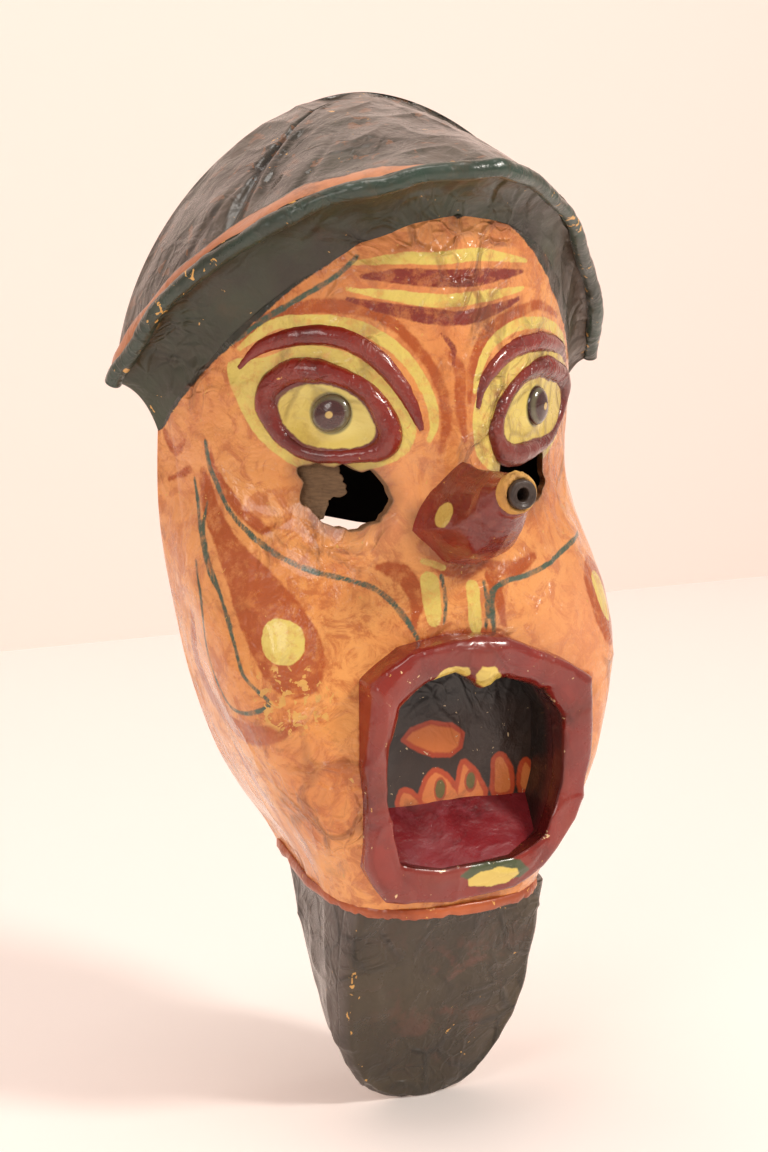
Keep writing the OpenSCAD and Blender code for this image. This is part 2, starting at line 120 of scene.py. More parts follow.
soft_lamp("lamp_right", (0.95, -1.25, 1.15), (0, 0, -0.02), 0.38, 21, (1.0, 0.93, 0.86))
soft_lamp("lamp_left", (-1.5, -1.1, 0.75), (0, 0, 0), 0.8, 7, (1.0, 0.95, 0.9))
soft_lamp("lamp_wall", (-0.2, -0.1, 1.9), (0.1, 0.9, -0.1), 1.0, 11, (1.0, 0.94, 0.88))

camera_place = Vector((-0.5228, -1.0475, 0.1687))
camera_aim = Vector((-0.0112, -0.0431, -0.0382))
lens = bpy.data.cameras.new("camera")
lens.lens, lens.sensor_width, lens.clip_start = 84.74, 36.0, 0.01
camera = bpy.data.objects.new("camera", lens)
camera.location = camera_place
camera.rotation_euler = (camera_aim - camera_place).to_track_quat("-Z", "Y").to_euler()
bpy.context.scene.collection.objects.link(camera)
bpy.context.scene.camera = camera
bpy.context.scene.view_settings.view_transform = "Standard"

# ---- Face shell ----
# Layers of glued paper pressed over a mould, about three and a half millimetres thick, open at
# the back. The sight holes are torn open, and the skin is painted in oil paint under old lacquer.
face_half_w, face_depth, face_height = 96.0, 99.0, 294.0
sight_height, cheek_turn, shell_wall = 178.0, 46.0, 3.4
hairline_side_z, hairline_slope = 24.0, 1.05
chin_joint_z, chin_slope = -160.0, -0.11

# Height share, back edge width, widest width, turn depth, front depth, squareness
face_rows = np.array([
    [-0.05, 0.36, 0.44, 1.00, 0.92, 3.0], [0.03, 0.40, 0.50, 1.00, 0.96, 3.0],
    [0.09, 0.49, 0.56, 1.00, 1.00, 3.6], [0.15, 0.62, 0.67, 1.00, 1.01, 4.0],
    [0.22, 0.74, 0.78, 0.98, 1.01, 3.8], [0.33, 0.86, 0.92, 0.96, 0.98, 2.8],
    [0.43, 0.93, 0.97, 0.82, 0.96, 2.2], [0.52, 0.98, 0.97, 0.50, 0.93, 1.7],
    [0.60, 1.00, 0.95, 0.26, 0.92, 1.5], [0.72, 0.99, 0.97, 0.18, 0.92, 1.5],
    [0.86, 0.96, 0.96, 0.18, 0.91, 1.6], [1.00, 0.90, 0.90, 0.18, 0.87, 1.8],
    [1.20, 0.80, 0.80, 0.18, 0.76, 1.9]])


def read_rows(table, h, column):
    """One smooth reading of a column of a table of rows."""
    h = np.asarray(h, float)
    x, y = table[:, 0], table[:, column]
    i = np.clip(np.searchsorted(x, h, side="right") - 1, 0, len(x) - 2)
    a, d = np.maximum(i - 1, 0), np.minimum(i + 2, len(x) - 1)
    step = x[i + 1] - x[i]
    t = np.clip((h - x[i]) / step, 0, 1)
    m1 = (y[i + 1] - y[a]) / (x[i + 1] - x[a]) * step
    m2 = (y[d] - y[i]) / (x[d] - x[i]) * step
    return ((2 * t**3 - 3 * t**2 + 1) * y[i] + (t**3 - 2 * t**2 + t) * m1
            + (3 * t**2 - 2 * t**3) * y[i + 1] + (t**3 - t**2) * m2)


def face_section(u, z):
    """Width and depth of the outer face at u, from -1 at one back edge to 1 at the other."""
    h = (z + sight_height) / face_height
    a = np.abs(u)
    back, wide = read_rows(face_rows, h, 1) * face_half_w, read_rows(face_rows, h, 2) * face_half_w
    turn, front = read_rows(face_rows, h, 3) * cheek_turn, read_rows(face_rows, h, 4) * face_depth
    e, k = 2 / read_rows(face_rows, h, 5), 0.8
    t = np.radians(90 * (1 - np.minimum(a, k) / k))
    flat = np.clip((a - k) / (1 - k), 0, 1)
    x = np.where(a > k, wide + (back - wide) * flat, wide * np.clip(np.cos(t), 0, 1) ** e)
    f = np.where(a > k, turn * (1 - flat), turn + (front - turn) * np.clip(np.sin(t), 0, 1) ** e)
    return np.sign(u) * x, f


# Walking round the face from its middle line gives a way along (s) to go with the height (z), and
# painted shapes are laid out in those two, as they would be on a paper pattern pressed to the face
chart_z = np.linspace(-186, 134, 321)
chart_u = np.linspace(-1, 1, 961)
chart_x, chart_f = face_section(chart_u[None, :], chart_z[:, None])
chart_s = np.concatenate([np.zeros((len(chart_z), 1)),
                          np.cumsum(np.hypot(np.diff(chart_x, axis=1), np.diff(chart_f, axis=1)), 1)], 1)
chart_s -= chart_s[:, [480]]
even_s = np.linspace(-205, 205, 821)
face_x = np.stack([np.interp(even_s, s, x) for s, x in zip(chart_s, chart_x)])
face_f = np.stack([np.interp(even_s, s, f) for s, f in zip(chart_s, chart_f)])


def read_chart(chart, across, up, s, z):
    """Value of a chart at s and z, read between its points."""
    i = np.clip((np.asarray(s, float) - across[0]) / (across[1] - across[0]), 0, len(across) - 1.001)
    j = np.clip((np.asarray(z, float) - up[0]) / (up[1] - up[0]), 0, len(up) - 1.001)
    a, b = i.astype(int), j.astype(int)
    p, q = i - a, j - b
    return ((chart[b, a] * (1 - p) + chart[b, a + 1] * p) * (1 - q)
            + (chart[b + 1, a] * (1 - p) + chart[b + 1, a + 1] * p) * q)


def on_face(s, z, out=0.0):
    """Points on the outer face at s and z, moved off it by a distance."""
    s, z = np.broadcast_arrays(np.asarray(s, float), np.asarray(z, float))

    def place(a, b):
        return np.stack([read_chart(face_x, even_s, chart_z, a, b), -read_chart(face_f, even_s, chart_z, a,
            b),
                         np.asarray(b, float)], -1)
    n = np.cross(place(s + 1.5, z) - place(s - 1.5, z), place(s, z + 1.5) - place(s, z - 1.5))
    n /= np.linalg.norm(n, axis=-1, keepdims=True)
    return place(s, z) + n * np.asarray(out, float)[..., None]


def lump(points, size, seed):
    """Smooth seeded bumps of about one size, from -1 to 1."""
    table = np.random.RandomState(seed).uniform(-1, 1, (32, 32, 32))
    p = points / size + 100.0
    a = np.floor(p).astype(int)
    t = p - a
    t = t * t * (3 - 2 * t)
    total = 0
    for i in (0, 1):
        for j in (0, 1):
            for k in (0, 1):
                w = ((t[..., 0] if i else 1 - t[..., 0]) * (t[..., 1] if j else 1 - t[..., 1])
                     * (t[..., 2] if k else 1 - t[..., 2]))
                total = total + w * table[(a[..., 0] + i) % 32, (a[..., 1] + j) % 32, (a[..., 2] + k) % 32]
    return total


def crumple(points, seed, big=0.7, mid=0.35, fold=0.35):
    """Unevenness of hand-pressed paper in millimetres: slow dents, lumps and a few sharp folds."""
    crease = (1 - np.abs(lump(points * (1, 1, 0.6), 17, seed + 2))) ** 6
    return (big * lump(points, 42, seed) + mid * lump(points, 13, seed + 1) + fold * (crease - 0.2)
            + 0.22 * mid * lump(points, 5, seed + 3))


def grid_normals(grid):
    n = np.cross(np.gradient(grid, axis=1), np.gradient(grid, axis=0))
    return n / (np.linalg.norm(n, axis=-1, keepdims=True) + 1e-9)


def distance_to_line(s, z, line):
    """Distance from each point to a brush line of (s, z, half width) points, less that half width."""
    best = np.full(s.shape, 1e3)
    for (a, b, w), (c, d, v) in zip(line[:-1], line[1:]):
        length = (c - a) ** 2 + (d - b) ** 2 + 1e-9
        t = np.clip(((s - a) * (c - a) + (z - b) * (d - b)) / length, 0, 1)
        best = np.minimum(best, np.hypot(s - a - t * (c - a), z - b - t * (d - b)) - w - t * (v - w))
    return best


def distance_to_patch(s, z, patch):
    """Distance from each point to the edge of a painted patch, negative inside it."""
    ends = list(patch[1:]) + [patch[0]]
    best = distance_to_line(s, z, [(a, b, 0) for a, b in list(patch) + [patch[0]]])
    inside = np.zeros(s.shape, bool)
    for (a, b), (c, d) in zip(patch, ends):
        if b != d:
            inside ^= ((b > z) != (d > z)) & (s < (c - a) * (z - b) / (d - b) + a)
    return np.where(inside, -best, best)


def rounded(patch, steps=6, closed=True):
    """More points on a smooth curve through an outline's own points."""
    p = np.array(patch, float)
    n = len(p)
    out = []
    for i in range(n if closed else n - 1):
        a, b, c, d = (p[k % n] if closed else p[min(max(k, 0), n - 1)] for k in (i - 1, i, i + 1, i + 2))
        for t in np.arange(steps) / steps:
            out.append(0.5 * (2 * b + (c - a) * t + (2 * a - 5 * b + 4 * c - d) * t**2
                              + (3 * b - a - 3 * c + d) * t**3))
    if not closed:
        out.append(p[-1])
    return np.array(out)


def quads(rows, columns, wrap_rows=False, wrap_columns=False, start=0):
    """Faces of a grid of points, row by row."""
    j = np.arange(rows if wrap_rows else rows - 1)[:, None]
    i = np.arange(columns if wrap_columns else columns - 1)[None, :]
    p, q = j * columns + i, j * columns + (i + 1) % columns
    r, s = (j + 1) % rows * columns + (i + 1) % columns, (j + 1) % rows * columns + i
    return (np.stack([p, q, r, s], -1).reshape(-1, 4) + start).tolist()


def make_piece(name, points, faces, paint, stands_for=(), values=None, smooth=True):
    """A closed piece from points in millimetres, with its paint values, riding on the one body."""
    mesh = bpy.data.meshes.new(name)
    mesh.from_pydata((np.asarray(points, float) * 0.001).tolist(), [], faces)
    for key, data in (values or {}).items():
        mesh.attributes.new(key, "FLOAT", "POINT").data.foreach_set("value", np.asarray(data,
            np.float32).ravel())
    tidy = bmesh.new()
    tidy.from_mesh(mesh)
    bmesh.ops.remove_doubles(tidy, verts=tidy.verts, dist=0.000002)
    bmesh.ops.recalc_face_normals(tidy, faces=tidy.faces)
    tidy.to_mesh(mesh)
    tidy.free()
    if smooth:
        mesh.shade_smooth()
    mesh.materials.append(paint)
    piece = bpy.data.objects.new(name, mesh)
    bpy.context.scene.collection.objects.link(piece)
    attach(piece, "root")
    for cad_node in stands_for:
        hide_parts(cad_node)
    return piece


def shell_between(outer, inner):
    """Points and faces of a closed sheet from its outer and inner grid of the same size."""
    rows, columns = outer.shape[:2]
    k = rows * columns
    faces = quads(rows, columns) + [f[::-1] for f in quads(rows, columns, start=k)]
    edge = ([(0, i) for i in range(columns)] + [(j, columns - 1) for j in range(1, rows)]
            + [(rows - 1, i) for i in range(columns - 2, -1, -1)] + [(j, 0) for j in range(rows - 2, 0, -1)])
    ring = [j * columns + i for j, i in edge]
    faces += [(a, b, b + k, a + k) for a, b in zip(ring, ring[1:] + ring[:1])]
    return np.concatenate([outer.reshape(-1, 3), inner.reshape(-1, 3)]), faces


# The shell itself: a fine outer skin and a coarser inner one, joined round the edge three to one
def hairline_z(u):
    z = np.zeros_like(u)
    for _ in range(9):
        z = hairline_side_z + hairline_slope * face_section(u, z)[1]
    return z


def face_grid(columns, rows):
    u = np.linspace(-1, 1, columns)
    low = np.full(columns, chin_joint_z)
    for _ in range(6):
        low = chin_joint_z + chin_slope * face_section(u, low)[1]
    z = low + (hairline_z(u) - low) * np.linspace(0, 1, rows)[:, None]
    x, f = face_section(u[None, :], z)
    grid = np.stack([x, -f, z], -1)
    ends = np.clip((1 - np.abs(u)) * 40, 0, 1)[None, :, None]
    n = grid_normals(grid)
    n[:, [0, -1]] *= (1, 0, 1)
    return grid, n, ends


outer, n, ends = face_grid(253, 244)
s_grid = read_chart(chart_s, np.linspace(-1, 1, 961), chart_z, np.linspace(-1, 1, 253)[None, :],
    outer[..., 2])
seam = np.exp(-(s_grid / 1.6) ** 2) * np.clip((outer[..., 2] - 68) / 12, 0, 1) * 0.9
cheek_fold = 1.1 * np.exp(-(distance_to_line(s_grid, outer[..., 2] - 2.5, [
    (-107, 20, 0), (-93, -10, 0), (-60, -28, 0), (-37, -35, 0), (-22, -55, 0)]) / 5) ** 2)
cheek_fold += 1.5 * np.exp(-(distance_to_line(s_grid, outer[..., 2] - 3, [
    (80, -25, 0), (48, -31, 0), (19, -35, 0), (14, -52, 0)]) / 5) ** 2)
apple = 2.6 * np.exp(-((s_grid - 72) / 30) ** 2 - ((outer[..., 2] + 62) / 26) ** 2)
off = crumple(outer, 11, 0.9, 0.42, 0.5) + seam + cheek_fold + apple
outer = outer + n * off[..., None] * ends
inner, n_in, _ = face_grid(85, 82)
inner = inner - n_in * (shell_wall + 0.35 * crumple(inner, 31)[..., None])
inner[:, [0, -1], 1] = 0
k = 253 * 244
faces = quads(244, 253) + [f[::-1] for f in quads(82, 85, start=k)]
for i in range(84):
    for row_o, row_i in ((0, 0), (243, 81)):
        a = row_o * 253 + 3 * i
        b = k + row_i * 85 + i
        faces.append([a, a + 1, a + 2, a + 3, b + 1, b][::1 if row_o else -1])
for j in range(81):
    for col_o, col_i in ((0, 0), (252, 84)):
        a, b = 3 * j * 253 + col_o, k + j * 85 + col_i
        faces.append([a, a + 253, a + 506, a + 759, b + 85, b][::-1 if col_o else 1])
shell_points = np.concatenate([outer.reshape(-1, 3), inner.reshape(-1, 3)])

# Torn sight holes, the way through to the nose and the mouth, cut as they were with a knife
hole_right = [(-68, 13), (-62, 15), (-56, 14), (-48, 15), (-42, 12), (-37, 13), (-32, 8), (-29, 2), (-31, -4),
    (-36, -8),
              (-41, -10), (-46, -12), (-52, -10), (-58, -9), (-62, -4), (-66, -1), (-66, 7)]
hole_left = [(23, -1), (22, 12), (27, 14), (33, 13), (39, 16), (47, 14), (54, 15), (61, 12), (60, 6), (63, 1),
    (56, -4), (44, -7),
             (33, -6)]
nose_edge = [(0, 26), (15, 14), (25, -4), (19, -20), (5, -25), (-11, -23), (-24, -6), (-15, 13)]
mouth_w, mouth_h, mouth_z = 110.0, 112.0, -110.0
gape = [(x * mouth_w, mouth_z + z * mouth_h) for x, z in (
    (-0.31, 0.26), (-0.19, 0.34), (-0.08, 0.37), (0.13, 0.33), (0.31, 0.27), (0.39, 0.16), (0.39, -0.10),
    (0.33, -0.30),
    (0.18, -0.36), (-0.12, -0.37), (-0.29, -0.33), (-0.35, -0.08), (-0.35, 0.12))]


def cutter(outline, near, far, on_chart=True):
    """A plug with an outline seen from the front, from one depth to another, to cut with."""
    xz = [(on_face(s, z)[0], z) if on_chart else (s, z) for s, z in outline]
    m = len(xz)
    points = [(x * 0.001, -d * 0.001, z * 0.001) for d in (near, far) for x, z in xz]
    faces = [list(range(m)), list(range(2 * m - 1, m - 1, -1))] + [
        [i, i + m, (i + 1) % m + m, (i + 1) % m] for i in range(m)]
    mesh = bpy.data.meshes.new("cutter")
    mesh.from_pydata(points, [], faces)
    solid = bmesh.new()
    solid.from_mesh(mesh)
    bmesh.ops.recalc_face_normals(solid, faces=solid.faces)
    solid.to_mesh(mesh)
    solid.free()
    plug = bpy.data.objects.new("cutter", mesh)
    bpy.context.scene.collection.objects.link(plug)
    return plug


def cut(points, faces, plugs):
    """The same closed body with the plugs cut out of it, as a mesh."""
    mesh = bpy.data.meshes.new("cut_body")
    mesh.from_pydata((points * 0.001).tolist(), [], faces)
    solid = bmesh.new()
    solid.from_mesh(mesh)
    bmesh.ops.recalc_face_normals(solid, faces=solid.faces)
    bmesh.ops.triangulate(solid, faces=[f for f in solid.faces if len(f.verts) > 4])
    solid.to_mesh(mesh)
    solid.free()
    body = bpy.data.objects.new("cut_body", mesh)
    bpy.context.scene.collection.objects.link(body)
    for plug in plugs:
        knife = body.modifiers.new("knife", "BOOLEAN")
        knife.operation, knife.solver, knife.object = "DIFFERENCE", "MANIFOLD", plug
    done = bpy.data.meshes.new_from_object(body.evaluated_get(bpy.context.evaluated_depsgraph_get()))
    for thing in [body] + plugs:
        bpy.data.objects.remove(thing)
    return done


def torn(outline, seed):
    """A rounded outline with the small ragged steps of torn card."""
    p = rounded(outline, 5)
    p3 = np.stack([p[:, 0], p[:, 1], 0 * p[:, 0]], -1)
    return p + 0.9 * np.stack([lump(p3, 3.5, seed), lump(p3, 3.5, seed + 1)], -1)


torn_right, torn_left = torn(hole_right, 71), torn(hole_left, 75)
shell_mesh = cut(shell_points, faces, [
    cutter(torn_right, 30, 130), cutter(torn_left, 30, 130),
    cutter([(x * 0.6, -8 + (z + 8) * 0.6) for x, z in nose_edge], 40, 130, False),
    cutter([(x * 1.04, mouth_z + (z - mouth_z) * 1.04) for x, z in gape], 40, 130, False)])
points = np.empty(len(shell_mesh.vertices) * 3, np.float32)
shell_mesh.vertices.foreach_get("co", points)
points = points.reshape(-1, 3).astype(float) * 1000

# Where each point of the cut shell is on the chart, from its bearing about an upright axis inside
bearing = np.linspace(-2.0, 2.0, 801)
chart_b = np.arctan2(chart_x, chart_f - 10)
s_by_bearing = np.stack([np.interp(bearing, b, s) for b, s in zip(chart_b, chart_s)])
r_by_bearing = np.stack([np.interp(bearing, b, np.hypot(x, f - 10)) for b, x, f in zip(chart_b, chart_x,
    chart_f)])


def find_on_face(p):
    """s along the face, and depth under its outer surface, of points near it."""
    b = np.arctan2(p[:, 0], -p[:, 1] - 10)
    s = read_chart(s_by_bearing, bearing, chart_z, b, p[:, 2])
    return s, read_chart(r_by_bearing, bearing, chart_z, b, p[:, 2]) - np.hypot(p[:, 0], -p[:, 1] - 10)


s, depth = find_on_face(points)
z = points[:, 2]

# Painted shapes, each a brush line (s, z, half width) or a patch (s, z)
yellow_lines = [
    [(-92, 61, 1), (-84, 67, 2), (-74, 72, 2.4), (-54, 73, 2.6), (-38, 69, 2.6), (-24, 59, 2.5),
    (-15, 45, 2.3), (-12, 33, 2), (-14, 25, 1)],
    [(6, 44, 1), (8, 51, 1.8), (15, 62, 2.4), (31, 69, 2.6), (57, 68, 2.4), (79, 61, 2), (92, 52, 1.5)],
    [(-46, 96, 0.6), (-25, 98, 2.2), (-9, 98, 2.6), (10, 99, 2.6), (38, 95, 0.8)],
    [(-47, 86, 0.6), (-26, 83, 2.4), (-9, 81, 2.6), (9, 82, 2.6), (36, 84, 0.8)],
    [(-17, -24, 1.4), (-9, -27, 1.2)]]
yellow_patches = [
    [(-98, 55), (-94, 40), (-84, 24), (-67, 13), (-48, 12), (-32, 15), (-22, 21), (-20, 33), (-31, 50),
    (-48, 61), (-66, 63), (-81, 58)],
    [(5, 30), (7, 42), (16, 53), (33, 58), (58, 57), (88, 50), (97, 38), (82, 20), (64, 11), (40, 9), (20, 9),
    (8, 17)],
    [(-18, -29), (-12, -30), (-11, -40), (-12, -50), (-17, -49), (-19, -39)],
    [(1, -34), (6, -34), (7, -43), (7, -54), (2, -53), (1, -43)],
    [(-85, -50), (-81, -46), (-74, -46), (-69, -50), (-69, -58), (-74, -63), (-81, -63), (-86, -58)],
    [(78, -41), (86, -40), (91, -47), (90, -56), (83, -60), (77, -53)]]
maroon_lines = [
    [(-41, 91, 0.8), (-25, 91, 3.0), (-9, 90, 3.6), (9, 90, 3.4), (36, 91, 0.9)],
    [(-47, 82, 0.7), (-30, 78, 2.4), (-13, 75, 3.2), (0, 74, 3.0), (15, 76, 2.6), (33, 80, 0.7)],
    [(-9, 68, 0.5), (-4, 62, 1.2), (-4, 55, 0.6)]]
brown_lines = [
    [(-95, 62, 1), (-81, 72, 2.4), (-66, 78, 3), (-48, 79, 3), (-33, 75, 2.4), (-20, 64, 2.2), (-10, 48, 2.2),
    (-7, 34, 2.4), (-9, 20, 1.2)],
    [(3, 40, 1.2), (4, 50, 2.2), (9, 62, 2.8), (18, 70, 3), (35, 75, 2.6), (52, 76, 2), (70, 70, 1)],
    [(-5, 60, 1.4), (-1, 52, 2.6), (-1, 38, 2.4), (1, 24, 1)],
    [(-133, -50, 2), (-142, -67, 4), (-140, -82, 5), (-124, -92, 5), (-104, -95, 5), (-88, -93, 4),
    (-75, -88, 2)],
    [(-135, 24, 1.2), (-128, 16, 2), (-121, 21, 1.2)], [(-132, 4, 1), (-119, 9, 1.8)],
    [(-36, -26, 1.5), (-26, -29, 4), (-21, -40, 3), (-25, -52, 1)],
    [(12, -27, 2), (24, -31, 3.6), (38, -27, 1.4)], [(13, -32, 3), (16, -44, 2.4), (19, -56, 1)],
    [(-12, -27, 1.5), (0, -29, 3), (11, -27, 1.5)], [(-48, -112, 2), (-44, -74, 2.2), (-27, -60, 2.2),
    (-9, -55, 2.4), (13, -56, 2.4),
                                                    (27, -64, 2.2), (62, -80, 2)],
    [(-126, -106, 1), (-118, -118, 3), (-101, -134, 2)]]
brown_patches = [
    [(-113, 9), (-109, 10), (-102, -6), (-91, -19), (-79, -29), (-69, -40), (-62, -53), (-61, -63),
    (-65, -73), (-72, -77), (-82, -74),
     (-90, -62), (-96, -49), (-100, -36), (-105, -20), (-112, -5)],
    [(-106, 18), (-102, 10), (-94, 1), (-86, -7), (-78, -12), (-82, -14), (-91, -9), (-101, 0), (-107, 10)],
    [(72, -38), (84, -33), (96, -40), (99, -52), (92, -66), (80, -70), (71, -60), (69, -48)]]
teal_lines = [
    [(-109, 22, 1), (-107, 12, 1.3), (-100, -2, 1.3), (-93, -10, 1.2), (-83, -18, 1.3), (-72, -24, 1.2),
    (-60, -28, 1.2), (-47, -31, 1.1),
     (-37, -35, 1.2), (-29, -43, 1.3), (-22, -55, 0.9)],
    [(84, -23, 0.9), (66, -26, 1.2), (48, -31, 1.2), (32, -34, 1.1), (19, -35, 1.1), (13, -38, 1.2),
    (12, -46, 1.2), (14, -59, 0.9)],
    [(-116, 6, 0.7), (-114, -7, 1), (-112, -20, 0.9), (-109, -32, 0.8), (-105, -38, 0.9), (-102, -48, 0.8),
    (-99, -59, 1), (-96, -69, 0.9),
     (-90, -75, 0.9), (-85, -79, 0.9), (-90, -83, 1), (-103, -86, 0.9), (-113, -83, 0.9), (-119, -71, 1),
    (-120, -58, 0.8),
     (-117, -42, 0.9), (-117, -27, 0.6)],
    [(-42, 99, 0.8), (-51, 91, 1.1), (-66, 82, 1.1), (-81, 73, 1.2), (-97, 62, 0.8)],
    [(-10, -30, 0.7), (-9, -40, 0.9), (-10, -50, 0.6)], [(9, -34, 0.7), (10, -44, 0.9), (9, -54, 0.6)],
    [(-109, -3, 0.5), (-111, -16, 0.8), (-106, -34, 0.7), (-100, -50, 0.6)]]
hat_paint = [(-150, 18), (-136, 25), (-118, 42), (-104, 56), (-97, 61), (-83, 74), (-66, 88), (-53, 96),
    (-41, 108), (-33, 111),
             (-16, 115), (-3, 116), (-1, 113), (4, 115), (22, 113), (34, 105), (50, 93), (69, 77), (92, 58),
    (120, 36), (150, 18),
             (150, 150), (-150, 150)]


def nearest(kinds, shapes):
    best = np.full(s.shape, 60.0)
    for kind, group in zip(kinds, shapes):
        for shape in group:
            smooth = rounded(shape, 4, kind is distance_to_patch).tolist()
            best = np.minimum(best, kind(s, z, smooth))
    return best


edge_right, edge_left = distance_to_patch(s, z, torn_right.tolist()), distance_to_patch(s, z,
    torn_left.tolist())
nose_gap = np.minimum(distance_to_line(s, z, [(-20, -6, 0), (-14, -20, 0), (0, -27, 0), (14, -22, 0),
    (20, -8, 0)]), 40)
face_values = {
    "yellow": nearest([distance_to_line, distance_to_patch], [yellow_lines, yellow_patches]),
    "maroon": nearest([distance_to_line], [maroon_lines]),
    "brown": nearest([distance_to_line, distance_to_patch], [brown_lines, brown_patches]),
    "teal": nearest([distance_to_line], [teal_lines]),
    "hat_green": distance_to_patch(s, z, hat_paint),
    "flaked": distance_to_patch(s, z, [(-92, -64), (-66, -64), (-57, -74), (-62, -88), (-76, -92),
    (-92, -86)]),
    "hole": np.minimum(edge_right, edge_left),
    # Painted shade: the skin darkens under the nose and round the sight holes, where shade falls.
    "shade_near_holes": np.clip(1 - np.minimum(nose_gap / 9, np.minimum(edge_right, edge_left) / 7), 0, 1),
    # The pink patches are partly the skin's own pink and partly painted highlight where the light falls on
    # the right cheek, the forehead and the sides.
    "pink_and_highlight": np.clip(np.exp(-((s - 62) / 42) ** 2 - ((z + 66) / 40) ** 2)
                    + 0.8 * np.exp(-((s + 30) / 26) ** 2 - ((z - 2) / 26) ** 2)
                    + 0.55 * np.exp(-((s + 120) / 30) ** 2 - ((z + 5) / 55) ** 2)
                    + 0.5 * np.exp(-((s + 2) / 55) ** 2 - ((z - 88) / 30) ** 2), 0, 1),
    "inside": np.clip((depth - 1.1) / 0.7, 0, 1) * (np.minimum(edge_right, edge_left) > 0.0)
    + (np.abs(s) > 400),
}


def put(tree, kind, inputs=None, **settings):
    """A node with its settings, and its inputs set or linked by name or number."""
    node = tree.nodes.new(kind)
    for key, value in settings.items():
        setattr(node, key, value)
    for key, value in (inputs or {}).items():
        if isinstance(value, bpy.types.NodeSocket):
            tree.links.new(value, node.inputs[key])
        else:
            node.inputs[key].default_value = value
    return node


def calc(tree, operation, *terms, clamp=False):
    return put(tree, "ShaderNodeMath", dict(enumerate(terms)), operation=operation,
        use_clamp=clamp).outputs[0]


def blend(tree, mask, under, over, mode="MIX"):
    return put(tree, "ShaderNodeMix", {0: mask, 6: under, 7: over}, data_type="RGBA",
        blend_type=mode).outputs[2]


def wash(tree, mask, share, under, over):
    """Lay a colour over another where the mask is, at no more than a share of its strength."""
    return blend(tree, calc(tree, "MULTIPLY", mask, share), under, over)


def ramp(tree, value, low, high, to_low=0.0, to_high=1.0):
    return put(tree, "ShaderNodeMapRange", {0: value, 1: low, 2: high, 3: to_low, 4: to_high},
               interpolation_type="SMOOTHSTEP").outputs[0]


def noise(tree, place, scale, detail=3.0, rough=0.5, distortion=0.0):
    return put(tree, "ShaderNodeTexNoise", {"Vector": place, "Scale": scale, "Detail": detail,
        "Roughness": rough,
                                            "Distortion": distortion}).outputs["Fac"]


def finish_group(name, ins, outs, build):
    """A shader node group with named inputs and outputs."""
    tree = bpy.data.node_groups.new(name, "ShaderNodeTree")
    for label, kind, value in ins:
        socket = tree.interface.new_socket(label, in_out="INPUT", socket_type=kind)
        if value is not None:
            socket.default_value = value
    for label in outs:
        tree.interface.new_socket(label, in_out="OUTPUT", socket_type="NodeSocketFloat")
    given, result = tree.nodes.new("NodeGroupInput"), tree.nodes.new("NodeGroupOutput")
    for label, socket in build(tree, given.outputs).items():
        tree.links.new(socket, result.inputs[label])
    return tree


def lacquered_paper(tree, given):
    """Pressed and glued paper under old lacquer: creases, slow lumps, brush drag and dulled patches, and a
    crease mask for painted shade in the creases.
    """
    place, fine, crumple_by = given["Position"], given["Fineness"], given["Crumple"]
    swirl = put(tree, "ShaderNodeTexNoise", {"Vector": place, "Scale": 24.0, "Detail": 2.0})
    bent = put(tree, "ShaderNodeVectorMath", {0: swirl.outputs["Color"], 1: (0.03, 0.03, 0.03)},
        operation="MULTIPLY").outputs[0]
    bent = put(tree, "ShaderNodeVectorMath", {0: place, 1: bent}, operation="ADD").outputs[0]
    scale = calc(tree, "MULTIPLY", fine, 46.0)
    cells = put(tree, "ShaderNodeTexVoronoi", {"Vector": bent, "Scale": scale},
        feature="DISTANCE_TO_EDGE").outputs[0]
    crease = ramp(tree, cells, 0.0, 0.11, 1.0, 0.0)
    cells2 = put(tree, "ShaderNodeTexVoronoi", {"Vector": bent, "Scale": calc(tree, "MULTIPLY", fine, 130.0)},
                 feature="DISTANCE_TO_EDGE").outputs[0]
    crease2 = ramp(tree, cells2, 0.0, 0.16, 1.0, 0.0)
    gate = ramp(tree, noise(tree, place, 17.0, 2.0), 0.45, 0.62)
    slow = noise(tree, bent, calc(tree, "MULTIPLY", fine, 60.0), 4.0, 0.55)
    grit = noise(tree, place, calc(tree, "MULTIPLY", fine, 520.0), 3.0, 0.6)
    height = calc(tree, "MULTIPLY_ADD", calc(tree, "MULTIPLY", crease, gate), 0.55, calc(tree, "MULTIPLY",
        slow, 1.3))
    height = calc(tree, "MULTIPLY_ADD", calc(tree, "MULTIPLY", crease2, gate), 0.22, height)
    height = calc(tree, "MULTIPLY_ADD", grit, 0.1, calc(tree, "MULTIPLY", height, crumple_by))
    return {"Height": height,
            "Dull": ramp(tree, noise(tree, place, 34.0, 5.0, 0.6), 0.42, 0.68),
            "Tone": ramp(tree, noise(tree, bent, 19.0, 6.0, 0.62), 0.33, 0.67),
            "Grime": calc(tree, "MULTIPLY", ramp(tree, noise(tree, bent, 62.0, 7.0, 0.68), 0.5, 0.72),
                          ramp(tree, noise(tree, place, 12.0, 2.0), 0.4, 0.62)),
            "Crease_Shade": calc(tree, "MULTIPLY", crease, gate)}


